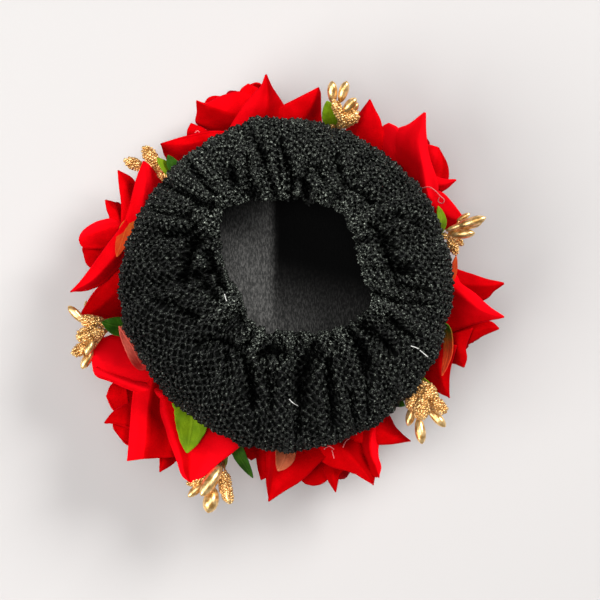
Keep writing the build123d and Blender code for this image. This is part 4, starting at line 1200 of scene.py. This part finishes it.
# Steps ahead and aside from the neck of the bunch, and the radius at both ends
LIME_ROUTE, LIME_RADII = [(-1.6, 0), (0, 0), (2.0, 0.6), (3.4, 0.4)], (1.2, 0.8)
SMOOTH_SLOT, BEAD_SLOT, WIRE_SLOT, STEM_SLOT = range(4)
BUNCHES = [
    # bearing, what it is fixed under, length and drop of its neck, and its grains: kind, foot, tip, width,
    # with foot and tip seen from above and their height
    (74, "disc", 1.0, 0, [
        ("bud", (333, 103, 27), (332, 81, 29), 10.5), ("bud", (340, 102, 28), (347, 81, 30), 10),
        ("bud", (343, 113, 29), (356, 98, 31), 10), ("bud", (347, 116, 26), (358, 103, 28), 9),
        ("cone", (338, 127, 26), (358, 112, 29), 14), ("cone", (341, 120, 29), (334, 100, 30), 9),
    ]),
    (17, "disc", 0.5, 0, [
        ("bud", (459, 226, 29), (486, 217.5, 31), 10), ("bud", (460, 228, 27), (482, 223, 28), 7),
        ("bud", (451, 235, 27), (475, 233, 28), 9.5), ("bud", (457, 221, 25), (470, 213.5, 26), 6),
        ("bud", (446, 231, 28), (466, 223, 29), 6),
        ("cone", (448, 237, 25), (457, 254, 25), 9), ("cone", (450, 238, 22), (464, 244, 22), 6),
    ]),
    (-41, "disc", 1.0, 0, [
        ("bud", (414, 404, 25), (408, 426, 26), 10), ("bud", (418.5, 418, 27), (422, 444, 28), 11),
        ("bud", (428, 408, 26), (445.5, 427, 27), 10), ("cone", (424, 396, 30), (420, 420, 33), 15),
        ("cone", (426, 394, 28), (446.5, 413, 30), 12), ("cone", (414, 383, 27), (436, 398, 30), 17),
        ("cone", (409, 388, 27), (414, 410, 29), 13),
    ]),
    (-110, "disc", 5.5, 4.0, [
        ("bud", (221, 466, 27), (201, 496, 31), 14), ("bud", (214, 488, 26), (208, 513, 28), 16),
        ("bud", (205, 482, 25), (188, 497, 26), 9), ("cone", (220, 471, 26), (230.5, 504, 28), 11.5),
        ("cone", (214, 469, 25), (187, 485, 26), 10), ("cone", (224, 471, 24), (229, 488, 25), 8),
    ]),
    (-166, "leaf", 5.0, 0, [
        ("bud", (85, 323, 23), (68, 306, 23), 9), ("cone", (106, 322, 25), (79, 320, 26), 11),
        ("cone", (104, 331, 26), (76, 337, 27), 15), ("cone", (97, 342, 25), (72, 354, 26), 12),
        ("bud", (93, 340, 27), (86, 355, 28), 9), ("bud", (92, 350, 24), (82, 369, 25), 10),
        ("cone", (100, 316, 16), (85, 302, 16), 7),
    ]),
    (138, "disc", 0.5, 0, [
        ("cone", (146, 169, 19), (125, 160, 19), 11), ("cone", (159, 168, 21), (144, 147, 22), 13),
        ("cone", (166, 182, 22), (156, 161, 22), 10), ("cone", (157, 174, 18), (144, 165, 17), 9),
    ]),
]


def lathe(shape, foot, heading, length, radius, profile, slot, sides):
    """Round body along a heading whose profile gives its swell along its length."""
    round_it = spokes(*square_to(heading), full_turn(sides))
    rows = [foot + heading * (length * along) + radius * swell * round_it for along, swell in profile]
    shape.add(np.array(rows), body_faces(len(rows), sides, flip=True), slot)


def ball():
    """Points and faces of a small round bead."""
    rings, sides, pole = 5, 8, 0.12
    v = np.linspace(pole, np.pi - pole, rings)[:, None]
    turn = full_turn(sides)
    p = np.stack([np.sin(v) * np.cos(turn), np.sin(v) * np.sin(turn), np.cos(v) * np.ones(sides)], -1)
    return p.reshape(-1, 3), body_faces(rings, sides, flip=True)


BALL_POINTS, BALL_FACES = ball()
chance = np.random.default_rng(7)


def beads(shape, foot, heading, length, radius, slot):
    """Crust of small beads over a cone."""
    first, second = square_to(heading)
    swell = curve(CONE, 1)
    rings = int(length / RING_GAP)
    for ring in range(rings + 1):
        along = ring / rings
        r = radius * float(swell(along)) * CRUST_SHARE
        count = max(int(2 * np.pi * r / BEAD_GAP), 1)
        for k in range(count):
            turn = 2 * np.pi * (k + 0.5 * (ring % 2) + TURN_JITTER * chance.random()) / count
            size = BEAD_LEAST + BEAD_SPREAD * chance.random()
            spread = r * (LEAST_OUT + OUT_JITTER * chance.random()) + LIFT_JITTER * chance.random()
            ahead = length * along * CRUST_LENGTH + AHEAD_JITTER * chance.random()
            centre = foot + heading * ahead + spread * (first * np.cos(turn) + second * np.sin(turn))
            shape.add(centre + BALL_POINTS * size, BALL_FACES, slot)


def wire_bundle(shape, root, out, side):
    """Wires wound into one bundle, from its root outwards."""
    along = np.linspace(0, 1, 14)
    for k in range(WIRES):
        turn = 2 * np.pi * k / WIRES + WIRE_TWIST * along
        line = root + out * (BUNDLE_LENGTH * along)[:, None] + WIRE_CIRCLE * spokes(side, UP, turn)
        tube(shape, line, WIRE_RADIUS, WIRE_SIDES, WIRE_SLOT)


def grain(shape, kind, foot, tip, width, fork, neck, out):
    """One bud or cone with the stem that it stands on."""
    foot, tip = seen(*foot), seen(*tip)
    length, radius = np.linalg.norm(tip - foot), width * STEP / 2
    heading = (tip - foot) / length
    line = through([fork - out * STEM_OVERLAP, neck, foot + heading * STEM_OVERLAP], 12)
    tube(shape, line, STEM_RADIUS, WIRE_SIDES, WIRE_SLOT)
    if kind == "bud":
        lathe(shape, foot, heading, length, radius, BUD, SMOOTH_SLOT, 18)
    else:
        lathe(shape, foot, heading, length, radius * CORE_SHARE, CONE, BEAD_SLOT, 12)
        beads(shape, foot, heading, length, radius, BEAD_SLOT)


def lime_stem(shape, neck, out, side):
    """Thick lime stem through the neck of the bunch that hangs low."""
    line = through([neck + out * ahead + side * aside for ahead, aside in LIME_ROUTE], 14)
    tube(shape, line, np.linspace(*LIME_RADII, 14), 10, STEM_SLOT)


def gold_bunch(number, bearing, carrier, neck_length, neck_drop, grains):
    out, side = around(bearing), around(bearing + 90)
    root = out * BUNDLE_CIRCLE
    under_leaf = LEAF_THICKNESS + LEAF_FOLD + SEAT_GAP if carrier == "leaf" else 0
    root[2] = underside(root[0]) - SEAT_GAP - under_leaf - BUNDLE_RADIUS
    fork = root + out * BUNDLE_LENGTH
    neck = fork + out * neck_length - UP * neck_drop
    shape = Shape()
    wire_bundle(shape, root, out, side)
    if neck_drop:
        lime_stem(shape, neck, out, side)
    for row in grains:
        grain(shape, *row, fork, neck, out)
    shape.make(f"gold_bunch_{number}", [GOLD, GOLD_ROUGH, WIRE, STEM], [f"stamen_bunch_{number}"])


for number, bunch in enumerate(BUNCHES, 1):
    gold_bunch(number, *bunch)


# Lint
LINT_RADIUS, NET_CLEARANCE, PETAL_CLEARANCE, NEAREST = 0.13, 0.35, 0.9, 6
NET_LINT = [
    ((411, 346), (417, 348), (422, 352), (428, 357)),
    ((224.5, 294), (225.5, 298), (227, 302)),
    ((289, 399), (293, 403), (298, 406)),
]
PETAL_LINT = [
    # bearing, ahead, route
    (45, 1.2, ((420, 189), (428, 187), (434, 190), (440, 196), (444, 200), (442, 203.5), (438, 201.5),
               (439, 197.5))),
    (-75, 1.4, ((324, 449), (329, 446), (334, 449))),
    (-75, 1.8, ((332, 450), (334, 458))),
    (-75, 1.4, ((343, 447), (346, 441), (350, 438))),
    (105, 4.6, ((195, 133), (198, 131), (200, 134), (197, 136))),
]


def lint():
    """Stray threads that cling to the net and the petals."""
    points, _, place, _ = net_grid(BACKING_COLUMNS, BACKING_ROWS)
    points = points[place > 0.3]
    x, y = as_seen(points)
    white, red = Shape(), Shape()
    for route in NET_LINT:
        line = []
        for at in route:
            near = np.argsort(np.hypot(x - at[0], y - at[1]))[:NEAREST]
            line.append(seen(*at, points[near, 2].max() + NET_CLEARANCE))
        tube(white, through(line, 16), LINT_RADIUS)
    for bearing, ahead, route in PETAL_LINT:
        line = [seen_point(bearing, *at, ahead) + UP * PETAL_CLEARANCE for at in route]
        tube(red, through(line, 30), LINT_RADIUS)
    white.make("lint_on_net", [LINT_WHITE], ["net_cover"])
    red.make("lint_on_petals", [LINT_RED], ["rose_2_outer"])


lint()


# Floor
FLOOR_HALF, FLOOR_DROP, FLOOR_COLOR = 1.5, 0.0001, (0.505, 0.49, 0.483, 1)


def floor():
    corners = [(-1, -1), (1, -1), (1, 1), (-1, 1)]
    mesh = bpy.data.meshes.new("floor")
    mesh.from_pydata([(FLOOR_HALF * x, FLOOR_HALF * y, 0) for x, y in corners], [], [[0, 1, 2, 3]])
    mesh.materials.append(Shader("floor_pale", Roughness=0.45, Base_Color=FLOOR_COLOR).mat)
    obj = add_object("floor", mesh)
    obj.location = (0, 0, -FLOOR_DROP)


floor()
